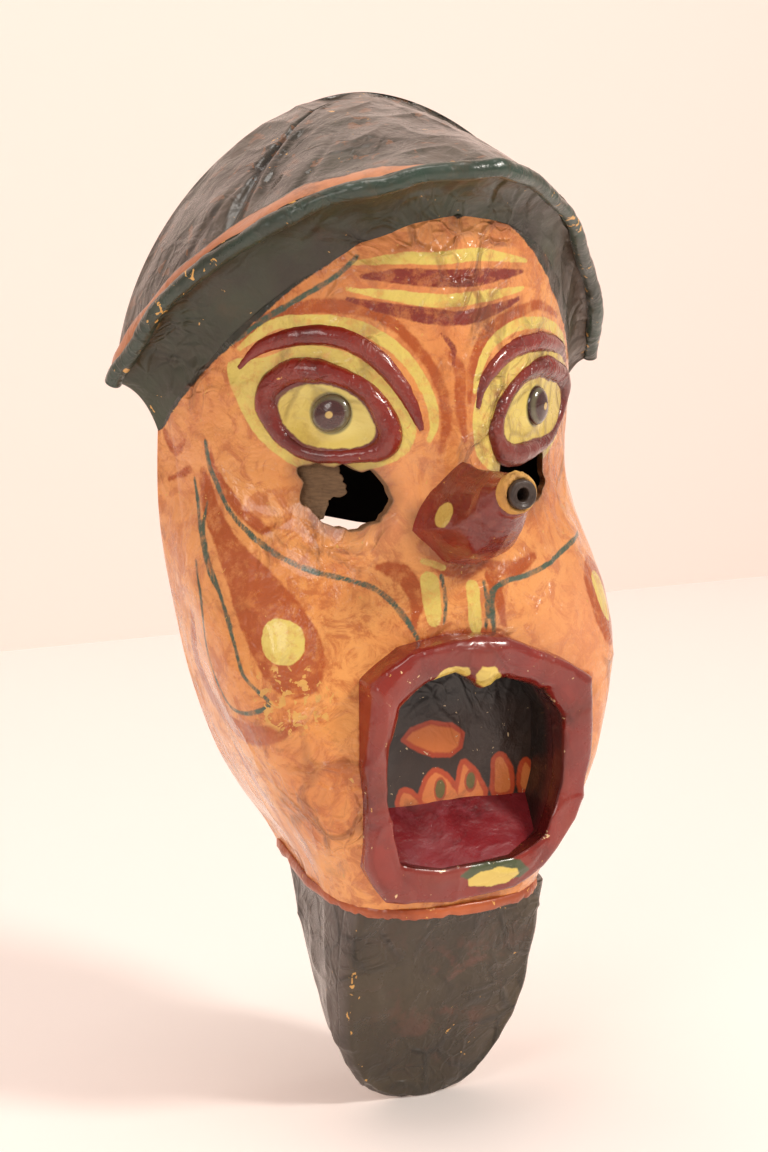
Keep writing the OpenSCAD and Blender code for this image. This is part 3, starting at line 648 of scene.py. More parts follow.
aged_lacquer = finish_group("aged_lacquer", [("Position", "NodeSocketVector", None),
    ("Fineness", "NodeSocketFloat", 1.0),
                                             ("Crumple", "NodeSocketFloat", 1.0)],
                            ["Height", "Dull", "Tone", "Grime", "Crease_Shade"], lacquered_paper)
brushed_edge = finish_group(
    "brushed_edge", [("Position", "NodeSocketVector", None), ("Distance", "NodeSocketFloat", 0.0),
                     ("Wobble", "NodeSocketFloat", 0.5), ("Softness", "NodeSocketFloat", 0.35)], ["Mask"],
    lambda tree, given: {"Mask": ramp(
        tree, calc(tree, "MULTIPLY_ADD", calc(tree, "SUBTRACT", noise(tree, given["Position"], 210.0, 4.0,
    0.62), 0.5),
                   calc(tree, "MULTIPLY", given["Wobble"], 3.2), given["Distance"]),
        calc(tree, "MULTIPLY", given["Softness"], -1.0), given["Softness"], 1.0, 0.0)})
flaked_paint = finish_group(
    "flaked_paint", [("Position", "NodeSocketVector", None), ("Amount", "NodeSocketFloat", 0.1),
                     ("Size", "NodeSocketFloat", 1.0)], ["Mask"],
    lambda tree, given: {"Mask": ramp(
        tree, calc(tree, "MULTIPLY_ADD", given["Amount"], 0.3,
                   noise(tree, given["Position"], calc(tree, "DIVIDE", 240.0, given["Size"]), 3.5, 0.55,
    0.6)),
        0.735, 0.75)})


def new_paint(name, gloss=0.3, coat=0.35, coat_rough=0.12, fineness=1.0, crumple_by=1.0, bump=0.0011):
    """A lacquered paint with its paper relief: the tree, the shader, the place and the paper group."""
    paint = bpy.data.materials.new(name)
    paint.use_nodes = True
    tree = paint.node_tree
    shader = tree.nodes["Principled BSDF"]
    place = tree.nodes.new("ShaderNodeTexCoord").outputs["Object"]
    paper = put(tree, "ShaderNodeGroup", node_tree=aged_lacquer)
    tree.links.new(place, paper.inputs["Position"])
    paper.inputs["Fineness"].default_value, paper.inputs["Crumple"].default_value = fineness, crumple_by
    relief = put(tree, "ShaderNodeBump", {"Height": paper.outputs["Height"], "Strength": 1.0,
        "Distance": bump})
    tree.links.new(relief.outputs[0], shader.inputs["Normal"])
    rough = put(tree, "ShaderNodeMapRange", {0: paper.outputs["Dull"], 3: gloss, 4: gloss + 0.26}).outputs[0]
    tree.links.new(rough, shader.inputs["Roughness"])
    shader.inputs["Coat Weight"].default_value = coat
    shader.inputs["Coat Roughness"].default_value = coat_rough
    return paint, tree, shader, place, paper


def value_of(tree, name):
    return put(tree, "ShaderNodeAttribute", attribute_name=name).outputs["Fac"]


def brushed(tree, place, name, wobble=0.5, softness=0.35):
    group = put(tree, "ShaderNodeGroup", {}, node_tree=brushed_edge)
    tree.links.new(place, group.inputs["Position"])
    tree.links.new(value_of(tree, name) if isinstance(name, str) else name, group.inputs["Distance"])
    group.inputs["Wobble"].default_value, group.inputs["Softness"].default_value = wobble, softness
    return group.outputs["Mask"]


def flakes(tree, place, amount, size=1.0):
    group = put(tree, "ShaderNodeGroup", {}, node_tree=flaked_paint)
    tree.links.new(place, group.inputs["Position"])
    if isinstance(amount, bpy.types.NodeSocket):
        tree.links.new(amount, group.inputs["Amount"])
    else:
        group.inputs["Amount"].default_value = amount
    group.inputs["Size"].default_value = size
    return group.outputs["Mask"]


ochre_primer = rgb(222, 170, 88)
skin, tree, shader, place, paper = new_paint("skin_paint", 0.2, 0.6, 0.08, 1.0, 1.45, 0.0016)
colour = blend(tree, paper.outputs["Tone"], rgb(238, 162, 82), rgb(212, 120, 44))
colour = wash(tree, noise(tree, place, 26.0, 5.0, 0.6), 0.5, colour, rgb(240, 178, 112))
mottle = ramp(tree, noise(tree, place, 85.0, 6.0, 0.72, 0.8), 0.44, 0.62, 0.0, 0.75)
colour = blend(tree, mottle, colour, rgb(184, 96, 40))
thin = ramp(tree, noise(tree, place, 150.0, 6.0, 0.7), 0.34, 0.54, 0.5, 1.0)
# Pink patches, partly the skin's own pink and partly painted highlight.
colour = wash(tree, value_of(tree, "pink_and_highlight"), 0.6, colour, rgb(233, 160, 114))
colour = wash(tree, brushed(tree, place, "brown", 0.9, 0.8), thin, colour, rgb(176, 84, 28))
colour = wash(tree, brushed(tree, place, "yellow", 0.5, 0.35), thin, colour, rgb(226, 204, 104))
colour = wash(tree, brushed(tree, place, "maroon", 0.6, 0.5), thin, colour, rgb(132, 48, 34))
colour = wash(tree, brushed(tree, place, "teal", 0.45, 0.4), thin, colour, rgb(72, 92, 74))
colour = blend(tree, brushed(tree, place, "hat_green", 0.8, 0.4), colour, rgb(44, 46, 34))
chips = calc(tree, "MULTIPLY", flakes(tree, place, 0.62, 1.1), ramp(tree, value_of(tree, "flaked"), -1.5, 1.5,
    1.0, 0.0))
chips = calc(tree, "MAXIMUM", chips, flakes(tree, place, 0.1, 0.8))
colour = blend(tree, chips, colour, ochre_primer)
colour = wash(tree, paper.outputs["Grime"], 0.8, colour, rgb(120, 66, 30))
# Painted shade in the paper's creases.
colour = wash(tree, paper.outputs["Crease_Shade"], 0.42, colour, rgb(108, 56, 26))
# Painted shade under the nose and round the sight holes.
colour = wash(tree, value_of(tree, "shade_near_holes"), 0.5, colour, rgb(84, 44, 24))
card = blend(tree, noise(tree, place, 300.0, 4.0), rgb(96, 66, 40), rgb(150, 112, 74))
torn_edge = ramp(tree, value_of(tree, "hole"), 0.15, 0.75, 1.0, 0.0)
bare = calc(tree, "MAXIMUM", calc(tree, "MULTIPLY", torn_edge, 0.9), value_of(tree, "inside"), clamp=True)
tree.links.new(blend(tree, bare, colour, card), shader.inputs["Base Color"])
tree.links.new(calc(tree, "MAXIMUM", shader.inputs["Roughness"].links[0].from_socket, calc(tree, "MULTIPLY",
    bare, 0.85)),
               shader.inputs["Roughness"])
tree.links.new(calc(tree, "MULTIPLY", calc(tree, "SUBTRACT", 1.0, bare), 0.5), shader.inputs["Coat Weight"])


def cut_piece(name, mesh, paint, node, values):
    """A piece from a cut mesh."""
    for key, data in values.items():
        mesh.attributes.new(key, "FLOAT", "POINT").data.foreach_set("value", np.asarray(data,
            np.float32).ravel())
    mesh.materials.clear()
    mesh.materials.append(paint)
    mesh.shade_smooth()
    piece = bpy.data.objects.new(name, mesh)
    mesh.name = name
    bpy.context.scene.collection.objects.link(piece)
    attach(piece, "root")
    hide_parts(node)
    return piece


face_shell = cut_piece("face_shell_skin", shell_mesh, skin, "face_shell", face_values)
sharp = face_shell.data.attributes.new("sharp_edge", "BOOLEAN",
    "EDGE") if "sharp_edge" not in face_shell.data.attributes \
    else face_shell.data.attributes["sharp_edge"]
edge_mesh = bmesh.new()
edge_mesh.from_mesh(face_shell.data)
sharp.data.foreach_set("value", [
    len(e.link_faces) == 2 and e.calc_face_angle(0) > 0.9 for e in edge_mesh.edges])
edge_mesh.free()

# ---- Brim of the hat ----
# The same paper sheet turned out from the hairline and pasted in strips, painted bottle green over
# an ochre primer. It flares up to the front and was pressed in on the left.
brim_half_w, brim_depth, brim_side_z, brim_rise = 115.0, 118.0, 45.0, 89.0
brim_full_right, brim_full_left, crown_rise = 1.8, 1.25, 29.0


def power(v, e):
    return np.sign(v) * np.abs(v) ** e


def rim_point(u):
    t = np.radians(90 * (1 + u))
    e = 2 / np.where(u < 0, brim_full_right, brim_full_left)
    f = brim_depth * power(np.sin(t), e)
    return np.stack([-brim_half_w * power(np.cos(t), e), -f,
                     brim_side_z + brim_rise * (1 - np.clip(1 - f / brim_depth, 0, 9) ** 1.3)], -1)


def flare_point(u, v):
    """Underside of the brim: u from end to end, v from the hairline to the rolled edge."""
    u, v = np.broadcast_arrays(np.asarray(u, float), np.asarray(v, float))
    z = hairline_z(u)
    x, f = face_section(u, z)
    a, b = np.stack([x, -f, z], -1), rim_point(u)
    c = a + (b - a) * np.array([0.35, 0.35, 0.9])
    v = v[..., None]
    return (1 - v) ** 2 * a + 2 * v * (1 - v) * c + v**2 * b


u = np.linspace(-1, 1, 321)[None, :]
v = np.linspace(-0.05, 1, 44)[:, None]
under = flare_point(u, v)
n = grid_normals(under)
n[:, [0, -1]] *= (1, 0, 1)
strips = 0.35 * np.sign(np.sin(u * 46 + 1.3 * np.sin(v * 5))) * (u > 0.1) + 0.5 * np.sin(u * 23 + 2
    * v) * (u < 0.1)
lift = crumple(under, 21, 1.0, 0.6, 0.6) + strips * np.clip(v * 3, 0, 1)
lift = lift * np.clip((1 - np.abs(u)) * 30, 0, 1) * np.clip((v + 0.05) * 8, 0.15, 1)
under = under + n * lift[..., None]
upper = under - n * (shell_wall - 0.3)
under[..., 1], upper[..., 1] = np.minimum(under[..., 1], 0), np.minimum(upper[..., 1], 0)
brim_points, faces = shell_between(under, upper)

brim_green, tree, shader, place, paper = new_paint("brim_green", 0.3, 0.3, 0.16, 0.9, 1.3, 0.0014)
colour = blend(tree, paper.outputs["Tone"], rgb(50, 60, 38), rgb(46, 38, 24))
# Lighter grey brown on the right of the underside, away from the hairline: partly patina, partly painted
# highlight where the light falls.
colour = wash(tree, value_of(tree, "patina_and_highlight"), 0.85, colour, rgb(100, 84, 72))
colour = wash(tree, paper.outputs["Grime"], 0.6, colour, rgb(96, 62, 34))
edge_chips = calc(tree, "MULTIPLY", flakes(tree, place, 0.42, 1.3), value_of(tree, "rim"))
colour = blend(tree, calc(tree, "MAXIMUM", edge_chips, flakes(tree, place, 0.06, 0.8)), colour, ochre_primer)
tree.links.new(colour, shader.inputs["Base Color"])
both_u = np.broadcast_to(u, under.shape[:2]).ravel()
both_v = np.broadcast_to(v, under.shape[:2]).ravel()
# The first value marks the patina and painted highlight on the right of the underside.
make_piece("brim", brim_points, faces, brim_green, ["hat_brim"], {
    "patina_and_highlight": np.tile(np.clip((both_u - 0.2) * 3.0, 0, 1) * np.clip(both_v * 1.6, 0, 1), 2),
    "rim": np.tile(np.clip((both_v - 0.75) * 6, 0, 1) * np.clip(0.25 + 1.6 * np.abs(both_u - 0.1), 0, 1), 2)})

# ---- Rolled edge of the brim ----
# A cord of twisted paper pasted round the rim and painted over. It is laid by a tree that sweeps
# a round section along a path and wrinkles it, which the rims of the eyes and the brows share.
bead = bpy.data.node_groups.new("pasted_bead", "GeometryNodeTree")
for label, kind, value in (("Path", "NodeSocketGeometry", None), ("Sides", "NodeSocketInt", 20),
                           ("Wrinkle Depth", "NodeSocketFloat", 0.0008), ("Wrinkle Size", "NodeSocketFloat",
    0.006),
                           ("Seed", "NodeSocketFloat", 1.0), ("Finish", "NodeSocketMaterial", None)):
    socket = bead.interface.new_socket(label, in_out="INPUT", socket_type=kind)
    if value is not None:
        socket.default_value = value
bead.interface.new_socket("Bead", in_out="OUTPUT", socket_type="NodeSocketGeometry")
given, result = bead.nodes.new("NodeGroupInput"), bead.nodes.new("NodeGroupOutput")
ring = put(bead, "GeometryNodeCurvePrimitiveCircle", {"Resolution": given.outputs["Sides"], "Radius": 1.0})
width_along = put(bead, "GeometryNodeInputRadius")
swept = put(bead, "GeometryNodeCurveToMesh", {"Curve": given.outputs["Path"],
    "Profile Curve": ring.outputs[0],
                                              "Scale": width_along.outputs[0], "Fill Caps": True})
where = put(bead, "GeometryNodeInputPosition")
fine = put(bead, "ShaderNodeTexNoise", {"Vector": where.outputs[0], "W": given.outputs["Seed"], "Detail": 3.0,
                                        "Scale": calc(bead, "DIVIDE", 1.0, given.outputs["Wrinkle Size"])},
           noise_dimensions="4D")
depth_by = calc(bead, "MULTIPLY", calc(bead, "SUBTRACT", fine.outputs["Fac"], 0.5),
    given.outputs["Wrinkle Depth"])
facing = put(bead, "GeometryNodeInputNormal")
push = put(bead, "ShaderNodeVectorMath", {0: facing.outputs[0], 3: calc(bead, "MULTIPLY", depth_by, 2.0)},
    operation="SCALE")
moved = put(bead, "GeometryNodeSetPosition", {"Geometry": swept.outputs[0], "Offset": push.outputs[0]})
real = put(bead, "GeometryNodeRealizeInstances", {0: moved.outputs[0]})
painted = put(bead, "GeometryNodeSetMaterial", {"Geometry": real.outputs[0],
    "Material": given.outputs["Finish"]})
bead.links.new(painted.outputs[0], result.inputs[0])


def lay_bead(name, path, widths, paint, nodes, closed=False, wrinkle=(0.8, 6.0), seed=1.0, sides=22,
    values=None):
    """A paper bead along a path in millimetres, of a changing half width, as a plain mesh piece."""
    line = bpy.data.curves.new(name + "_path", "CURVE")
    line.dimensions = "3D"
    spline = line.splines.new("POLY")
    spline.points.add(len(path) - 1)
    spline.points.foreach_set("co", np.concatenate([path * 0.001, np.ones((len(path), 1))], 1).ravel())
    spline.points.foreach_set("radius", np.asarray(widths) * 0.001)
    spline.use_cyclic_u = closed
    holder = bpy.data.objects.new(name + "_path", line)
    bpy.context.scene.collection.objects.link(holder)
    layer = holder.modifiers.new("bead", "NODES")
    layer.node_group = bead
    ids = {item.name: item.identifier for item in bead.interface.items_tree if item.in_out == "INPUT"}
    for label, value in (("Sides", sides), ("Wrinkle Depth", wrinkle[0] * 0.001), ("Wrinkle Size",
        wrinkle[1] * 0.001),
                         ("Seed", seed), ("Finish", paint)):
        layer[ids[label]] = value
    mesh = bpy.data.meshes.new_from_object(holder.evaluated_get(bpy.context.evaluated_depsgraph_get()))
    bpy.data.objects.remove(holder)
    solid = bmesh.new()
    solid.from_mesh(mesh)
    bmesh.ops.remove_doubles(solid, verts=solid.verts, dist=0.000002)
    bmesh.ops.recalc_face_normals(solid, faces=solid.faces)
    solid.to_mesh(mesh)
    solid.free()
    mesh.name = name
    mesh.shade_smooth()
    if values:
        co = np.empty(len(mesh.vertices) * 3, np.float32)
        mesh.vertices.foreach_get("co", co)
        for key, rule in values.items():
            mesh.attributes.new(key, "FLOAT", "POINT").data.foreach_set(
                "value", np.asarray(rule(co.reshape(-1, 3).astype(float) * 1000), np.float32))
    mesh.materials.clear()
    mesh.materials.append(paint)
    piece = bpy.data.objects.new(name, mesh)
    bpy.context.scene.collection.objects.link(piece)
    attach(piece, "root")
    for cad_node in nodes:
        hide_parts(cad_node)
    return piece


u = np.linspace(-1, 1, 420)
path = rim_point(u)
wave = np.stack([np.sin(u * 19) * 0.5 + lump(path, 26, 61) * 1.1, 0 * u, np.sin(u * 31 + 1) * 0.4 + lump(path,
    22, 62) * 1.2], -1)
path = path + wave * np.clip((1 - np.abs(u)) * 20, 0, 1)[:, None]
path[:, 1] = np.minimum(path[:, 1], 0)
half = 3.7 + 0.45 * lump(path, 16, 63) - 0.7 * np.exp(-((u - 0.42) / 0.2) ** 2)

roll_green, tree, shader, place, paper = new_paint("roll_green", 0.26, 0.4, 0.12, 1.3, 1.2, 0.0012)
colour = blend(tree, paper.outputs["Tone"], rgb(50, 72, 60), rgb(42, 50, 38))
colour = wash(tree, paper.outputs["Grime"], 0.7, colour, rgb(100, 70, 40))
colour = blend(tree, flakes(tree, place, value_of(tree, "chipped"), 1.2), colour, ochre_primer)
tree.links.new(colour, shader.inputs["Base Color"])
lay_bead("rolled_edge", path, half, roll_green, ["brim_roll"], wrinkle=(0.8, 9.0), seed=3.0,
    values={
    "chipped": lambda p: 0.1 + 0.36 * np.exp(-((p[:, 0] - 62) / 24) ** 2) + 0.3
    * np.exp(-((p[:, 0] + 104) / 12) ** 2)
    + 0.15 * np.exp(-((p[:, 0] - 104) / 20) ** 2)})

# ---- Crown and band of the hat ----
# A low crown of the same pasted paper, open at the back and dented over the right temple, with a
# painted salmon band round its foot that fades out on the left.
band_share, pinch_depth = 0.22, 7.0
crown_z = brim_side_z + brim_rise + crown_rise


def crown_point(u, v):
    u, v = np.broadcast_arrays(np.asarray(u, float), np.asarray(v, float))
    a = flare_point(u, np.full_like(u, 0.95))
    t = 90 * (1 + u)
    k = 1.14 * np.clip(np.sin(np.radians(t)), 0, 1) + 1.8 * (1 - np.clip(np.sin(np.radians(t)), 0, 1))
    c = np.clip(np.cos(np.radians(90 * v)), 0, 1) ** (2 / k)
    s = np.clip(np.sin(np.radians(90 * v)), 0, 1) ** (2 / k)
    p = 1 - pinch_depth / brim_half_w * np.exp(-((t - 38) / 5) ** 2) * np.sin(np.pi * np.minimum(1, v * 1.3))
    return np.stack([a[..., 0] * c * p, a[..., 1] * c * p, a[..., 2] + (crown_z - a[..., 2]) * s], -1)


def band_top(u):
    return band_share * (0.4 + 0.6 * np.exp(-((u + 0.4) / 0.3) ** 2)) * np.clip((0.3 - u) / 0.4, 0.02, 1)


u = np.linspace(-1, 1, 301)[None, :]
v = np.linspace(0, 1, 141)[:, None] ** 0.9
top = crown_point(u, v)
n = grid_normals(top[::-1])[::-1] * -1
n[-3:] = (0, -0.3, 0.95)
n = n / np.linalg.norm(n, axis=-1, keepdims=True)
n[:, [0, -1]] *= (1, 0, 1)
groove = -2.6 * np.exp(-((u + 0.60 + 0.10 * v) / 0.016) ** 2) + 1.5 * np.exp(-((u + 0.565 + 0.10
    * v) / 0.018) ** 2)
groove = groove - 1.8 * np.exp(-((u + 0.50 - 0.16 * v) / 0.014) ** 2) * np.clip(1.2 - v * 2, 0, 1)
groove = groove - 1.4 * np.exp(-((u + 0.76 - 0.2 * v) / 0.014) ** 2) * np.clip(1.1 - v * 1.6, 0, 1)
dent = -2.2 * np.exp(-((u + 0.3) / 0.12) ** 2 - ((v - 0.34) / 0.10) ** 2) - 1.6 * np.exp(-((u
    + 0.1) / 0.2) ** 2 - ((v - 0.62) / 0.12) ** 2)
lift = crumple(top, 41, 1.5, 0.7, 0.9) + groove * np.sin(np.pi * np.clip(v * 1.15, 0, 1)) + dent
lift = np.minimum(lift, 1.4) * np.clip((1 - np.abs(u)) * 30, 0, 1) * np.clip((1 - v) * 9, 0, 1)
top = top + n * lift[..., None]
under_top = top - n * shell_wall
top[..., 1], under_top[..., 1] = np.minimum(top[..., 1], 0), np.minimum(under_top[..., 1], 0)
crown_points, faces = shell_between(top, under_top)

crown_green, tree, shader, place, paper = new_paint("crown_green", 0.24, 0.45, 0.14, 0.8, 1.5, 0.0016)
colour = blend(tree, paper.outputs["Tone"], rgb(46, 50, 38), rgb(44, 36, 26))
colour = wash(tree, paper.outputs["Dull"], 0.45, colour, rgb(92, 78, 62))
# Painted shade in the paper's creases.
colour = wash(tree, paper.outputs["Crease_Shade"], 0.5, colour, rgb(30, 26, 20))
colour = wash(tree, flakes(tree, place, 0.42, 1.8), 0.7, colour, rgb(116, 76, 46))
colour = blend(tree, flakes(tree, place, 0.08, 1.0), colour, ochre_primer)
tree.links.new(colour, shader.inputs["Base Color"])
make_piece("crown", crown_points, faces, crown_green, ["hat_crown"])

u = np.linspace(-1, 0.28, 260)[None, :]
v = np.linspace(0, 1, 16)[:, None]
height = band_top(u) * v * (1 + 0.06 * np.sin(u * 40))
foot = crown_point(u, height)
n = grid_normals(foot)
n[:, [0]] *= (1, 0, 1)
swell = 0.9 + 1.3 * np.sin(np.pi * np.clip(v, 0, 1)) ** 0.7 + 0.45 * crumple(foot, 47)
band = foot + n * (swell * np.clip((0.3 - u) * 6, 0.2, 1))[..., None]
band_back = foot - n * 2.4
band[..., 1], band_back[..., 1] = np.minimum(band[..., 1], 0), np.minimum(band_back[..., 1], 0)
band_points, faces = shell_between(band, band_back)
band_salmon, tree, shader, place, paper = new_paint("band_salmon", 0.32, 0.3, 0.15, 1.0, 1.0, 0.0012)
colour = blend(tree, paper.outputs["Tone"], rgb(204, 136, 92), rgb(176, 104, 62))
edge = brushed(tree, place, "edge", 1.0, 0.5)
colour = wash(tree, paper.outputs["Grime"], 0.8, colour, rgb(96, 60, 38))
colour = blend(tree, edge, colour, rgb(56, 50, 38))
tree.links.new(colour, shader.inputs["Base Color"])
edge_value = np.broadcast_to(np.minimum((1 - v) * 14 + 0 * u, (0.30 - u) * 60 + 0 * v) - 1.6, band.shape[:2])
make_piece("band", band_points, faces, band_salmon, ["hat_band"],
    {"edge": np.tile(edge_value.ravel(), 2)})

# ---- Rims of the eyes ----
# Thick almond rings of paper pulp laid on the face, painted maroon. Each is one bead along the
# middle of its ring, as wide as the ring is there.


def reach(outline, centre, angles, hardness=0.0):
    """How far an outline is from a centre in each direction, its corners rounded or kept hard."""
    ends = np.array(outline, float)
    straight = np.concatenate([a + (b - a) * np.arange(8)[:, None] / 8 for a, b in zip(ends, np.roll(ends, -1,
        0))])
    p = rounded(outline, 8) * (1 - hardness) + straight * hardness - np.array(centre, float)
    a = np.arctan2(p[:, 1], p[:, 0])
    order = np.argsort(a)
    return np.interp(angles, a[order], np.hypot(p[:, 0], p[:, 1])[order], period=2 * np.pi)


def maroon_paint(name, fineness=1.0, gloss=0.22):
    paint, tree, shader, place, paper = new_paint(name, gloss, 0.5, 0.1, fineness, 1.1, 0.0011)
    colour = blend(tree, paper.outputs["Tone"], rgb(142, 38, 24), rgb(104, 26, 18))
    colour = wash(tree, paper.outputs["Dull"], 0.3, colour, rgb(142, 72, 54))
    colour = wash(tree, paper.outputs["Grime"], 0.6, colour, rgb(44, 18, 16))
    colour = blend(tree, flakes(tree, place, 0.07, 0.7), colour, ochre_primer)
    return paint, tree, shader, place, colour


rim_maroon, tree, shader, place, colour = maroon_paint("rim_maroon", 1.4)
tree.links.new(colour, shader.inputs["Base Color"])
eyes = {
    "right": dict(centre=(-55, 35), pupil=(-53.5, 36), seed=5,
                  outer=[(-86, 40), (-84, 49), (-77, 56), (-66, 58.5), (-50, 55), (-37, 48), (-29, 38),
    (-25, 28), (-27, 21), (-34, 17.5),
                         (-50, 15.5), (-67, 17), (-80, 27)],
                  inner=[(-76, 39), (-73, 44), (-63, 48), (-50, 47), (-41, 41), (-36, 33), (-35.5, 26),
    (-42, 22), (-54, 21), (-65, 23), (-73, 30)]),
    "left": dict(centre=(50, 33), pupil=(48, 34.5), seed=9,
                 outer=[(15, 24), (17, 32), (22, 40), (36, 50), (54, 54), (74, 51), (88, 43), (88, 32),
    (77, 21), (63, 15), (38, 12), (22, 13)],
                 inner=[(22, 26), (25, 36), (36, 44.5), (50, 46.5), (62, 44), (76, 40), (80, 32), (70, 22),
    (46, 20), (29, 20)])}
around = np.linspace(-np.pi, np.pi, 220, endpoint=False)
for side, eye in eyes.items():
    far, near = reach(eye["outer"], eye["centre"], around), reach(eye["inner"], eye["centre"], around)
    mid, half = (far + near) / 2, np.clip((far - near) / 2 * 1.06, 2.2, 5.2)
    s_line, z_line = eye["centre"][0] + mid * np.cos(around), eye["centre"][1] + mid * np.sin(around)
    path = on_face(s_line, z_line, -0.1 * half)
    lay_bead("eye_rim_" + side, path, half + 0.25 * lump(path, 9, eye["seed"]), rim_maroon,
        ["eye_rim_" + side],
             closed=True, wrinkle=(0.9, 7.0), seed=eye["seed"], sides=20)

# ---- Eyeballs ----
# Inside each ring the paper is dished and painted lemon yellow, with a fine grey-green ring of
# glaze where the pupil bead sits.


def disc_shell(outer, inner):
    """A closed round sheet from an outer and an inner grid of rings, the first ring at its middle."""
    rows, columns = outer.shape[:2]
    k = rows * columns
    faces = quads(rows, columns, wrap_columns=True) + [f[::-1] for f in quads(rows, columns,
        wrap_columns=True, start=k)]
    last = (rows - 1) * columns
    faces += [(last + i, last + (i + 1) % columns, k + last + (i + 1) % columns,
        k + last + i) for i in range(columns)]
    return np.concatenate([outer.reshape(-1, 3), inner.reshape(-1, 3)]), faces


eye_yellow, tree, shader, place, paper = new_paint("eye_yellow", 0.2, 0.6, 0.08, 1.3, 0.8, 0.0009)
colour = blend(tree, paper.outputs["Tone"], rgb(236, 220, 128), rgb(216, 190, 84))
colour = blend(tree, ramp(tree, value_of(tree, "from_pupil"), 0.5, 1.7, 0.8, 0.0), colour, rgb(104, 104, 70))
colour = blend(tree, brushed(tree, place, value_of(tree, "to_rim"), 0.7, 0.5), colour, rgb(108, 40, 36))
colour = wash(tree, paper.outputs["Grime"], 0.55, colour, rgb(150, 104, 44))
# Painted shade in the paper's creases.
colour = wash(tree, paper.outputs["Crease_Shade"], 0.4, colour, rgb(120, 90, 40))
tree.links.new(colour, shader.inputs["Base Color"])
ring = np.linspace(0.0, 1, 34)[:, None]
for side, eye in eyes.items():
    near = reach(eye["inner"], eye["centre"], around) + 1.6
    s_disc = eye["centre"][0] + ring * near * np.cos(around)
    z_disc = eye["centre"][1] + ring * near * np.sin(around)
    from_pupil = np.hypot(s_disc - eye["pupil"][0], z_disc - eye["pupil"][1]) - 7.6
    rise = 0.7 + 1.1 * ring**3 + 0.7 * np.exp(-(from_pupil / 3.0) ** 2)
    flat = on_face(s_disc, z_disc)
    rise = rise + 0.3 * crumple(flat, 81)
    disc_points, faces = disc_shell(on_face(s_disc, z_disc, rise), on_face(s_disc, z_disc, -1.2 + 0 * s_disc))
    make_piece("eyeball_" + side, disc_points, faces, eye_yellow, ["eye_white_" + side],
               {"from_pupil": np.tile(from_pupil.ravel(), 2),
        "to_rim": np.tile(((1 - ring) * near - 2.3).ravel(), 2)})

# ---- Pupils ----
# A bead of pulp pressed on each eyeball, painted dark maroon with a fleck of cream in the middle.
pupil_glaze, tree, shader, place, paper = new_paint("pupil_glaze", 0.12, 0.9, 0.05, 1.6, 0.6, 0.0006)
span = value_of(tree, "span")
colour = blend(tree, paper.outputs["Tone"], rgb(78, 34, 28), rgb(52, 22, 20))
colour = blend(tree, ramp(tree, span, 0.66, 0.82), colour, rgb(104, 98, 74))
colour = blend(tree, ramp(tree, span, 0.88, 0.97), colour, rgb(58, 34, 28))
colour = blend(tree, ramp(tree, span, 0.14, 0.22, 1.0, 0.0), colour, rgb(206, 176, 104))
tree.links.new(colour, shader.inputs["Base Color"])
ring = np.linspace(0.0, 1, 22)[:, None]
turn = np.linspace(0, 2 * np.pi, 72, endpoint=False)
for side, eye in eyes.items():
    radius = 8.2 * (1 + 0.05 * np.cos(2 * turn + eye["seed"]))
    s_disc = eye["pupil"][0] + ring * radius * np.cos(turn)
    z_disc = eye["pupil"][1] + ring * radius * np.sin(turn)
    rise = 0.9 + 5.0 * np.sqrt(np.clip(1 - ring**2.2, 0, 1)) + 0 * turn
    rise = rise + 0.25 * lump(on_face(s_disc, z_disc, rise), 4.0, eye["seed"])
    disc_points, faces = disc_shell(on_face(s_disc, z_disc, rise), on_face(s_disc, z_disc, 0.2 + 0 * s_disc))
    make_piece("pupil_bead_" + side, disc_points, faces, pupil_glaze, ["pupil_" + side],
               {"span": np.tile((ring + 0 * turn).ravel(), 2)})

# ---- Brows ----
# Flat beads of pulp, laid in an arch over each eye and drawn out thin at the ends, in the same
# maroon as the rims.
brow_lines = {
    "right": [(-93, 53, 1.2), (-84, 61.5, 3.0), (-71, 66, 4.0), (-58, 67.5, 4.4), (-46, 65, 4.2),
    (-34.5, 57.5, 4.0), (-26, 47.5, 3.6),
              (-20.5, 38, 2.9), (-17, 29, 1.3)],
    "left": [(7.5, 37, 1.2), (10.5, 46, 2.6), (18, 53.5, 3.6), (29, 59, 4.2), (43, 61, 4.3), (60, 60, 4.2),
    (78, 56, 3.6), (92, 49, 1.4)]}
for side, line in brow_lines.items():
    smooth = rounded(line, 14, closed=False)
    path = on_face(smooth[:, 0], smooth[:, 1], -0.42 * smooth[:, 2])
    lay_bead("brow_bead_" + side, path, smooth[:, 2] * 1.08, rim_maroon, ["brow_" + side],
        wrinkle=(0.8, 6.0),
             seed=13.0 + len(side), sides=18)

# ---- Torn flap in the right sight hole ----
# When the hole was torn through, a scrap of the card stayed hanging on its outer edge. It is
# fibrous brown card, bent inwards.
flap_card, tree, shader, place, paper = new_paint("flap_card", 0.7, 0.0, 0.3, 1.5, 1.6, 0.0012)
fibre = noise(tree, put(tree, "ShaderNodeMapping", {0: place, 3: (1.0, 1.0, 5.0)}).outputs[0], 240.0, 5.0,
    0.6)
colour = blend(tree, fibre, rgb(58, 40, 26), rgb(150, 118, 82))
tree.links.new(wash(tree, paper.outputs["Grime"], 0.8, colour, rgb(40, 26, 18)), shader.inputs["Base Color"])
flap = [(-71, 17), (-63, 18.5), (-57, 18), (-52, 13), (-50.5, 9), (-48.5, 5), (-50, 2), (-55, 0.5), (-57, -4),
    (-60, -8), (-66, -6),
        (-71, 0)]
ring, middle = np.linspace(0.0, 1, 30)[:, None], (-61, 6)
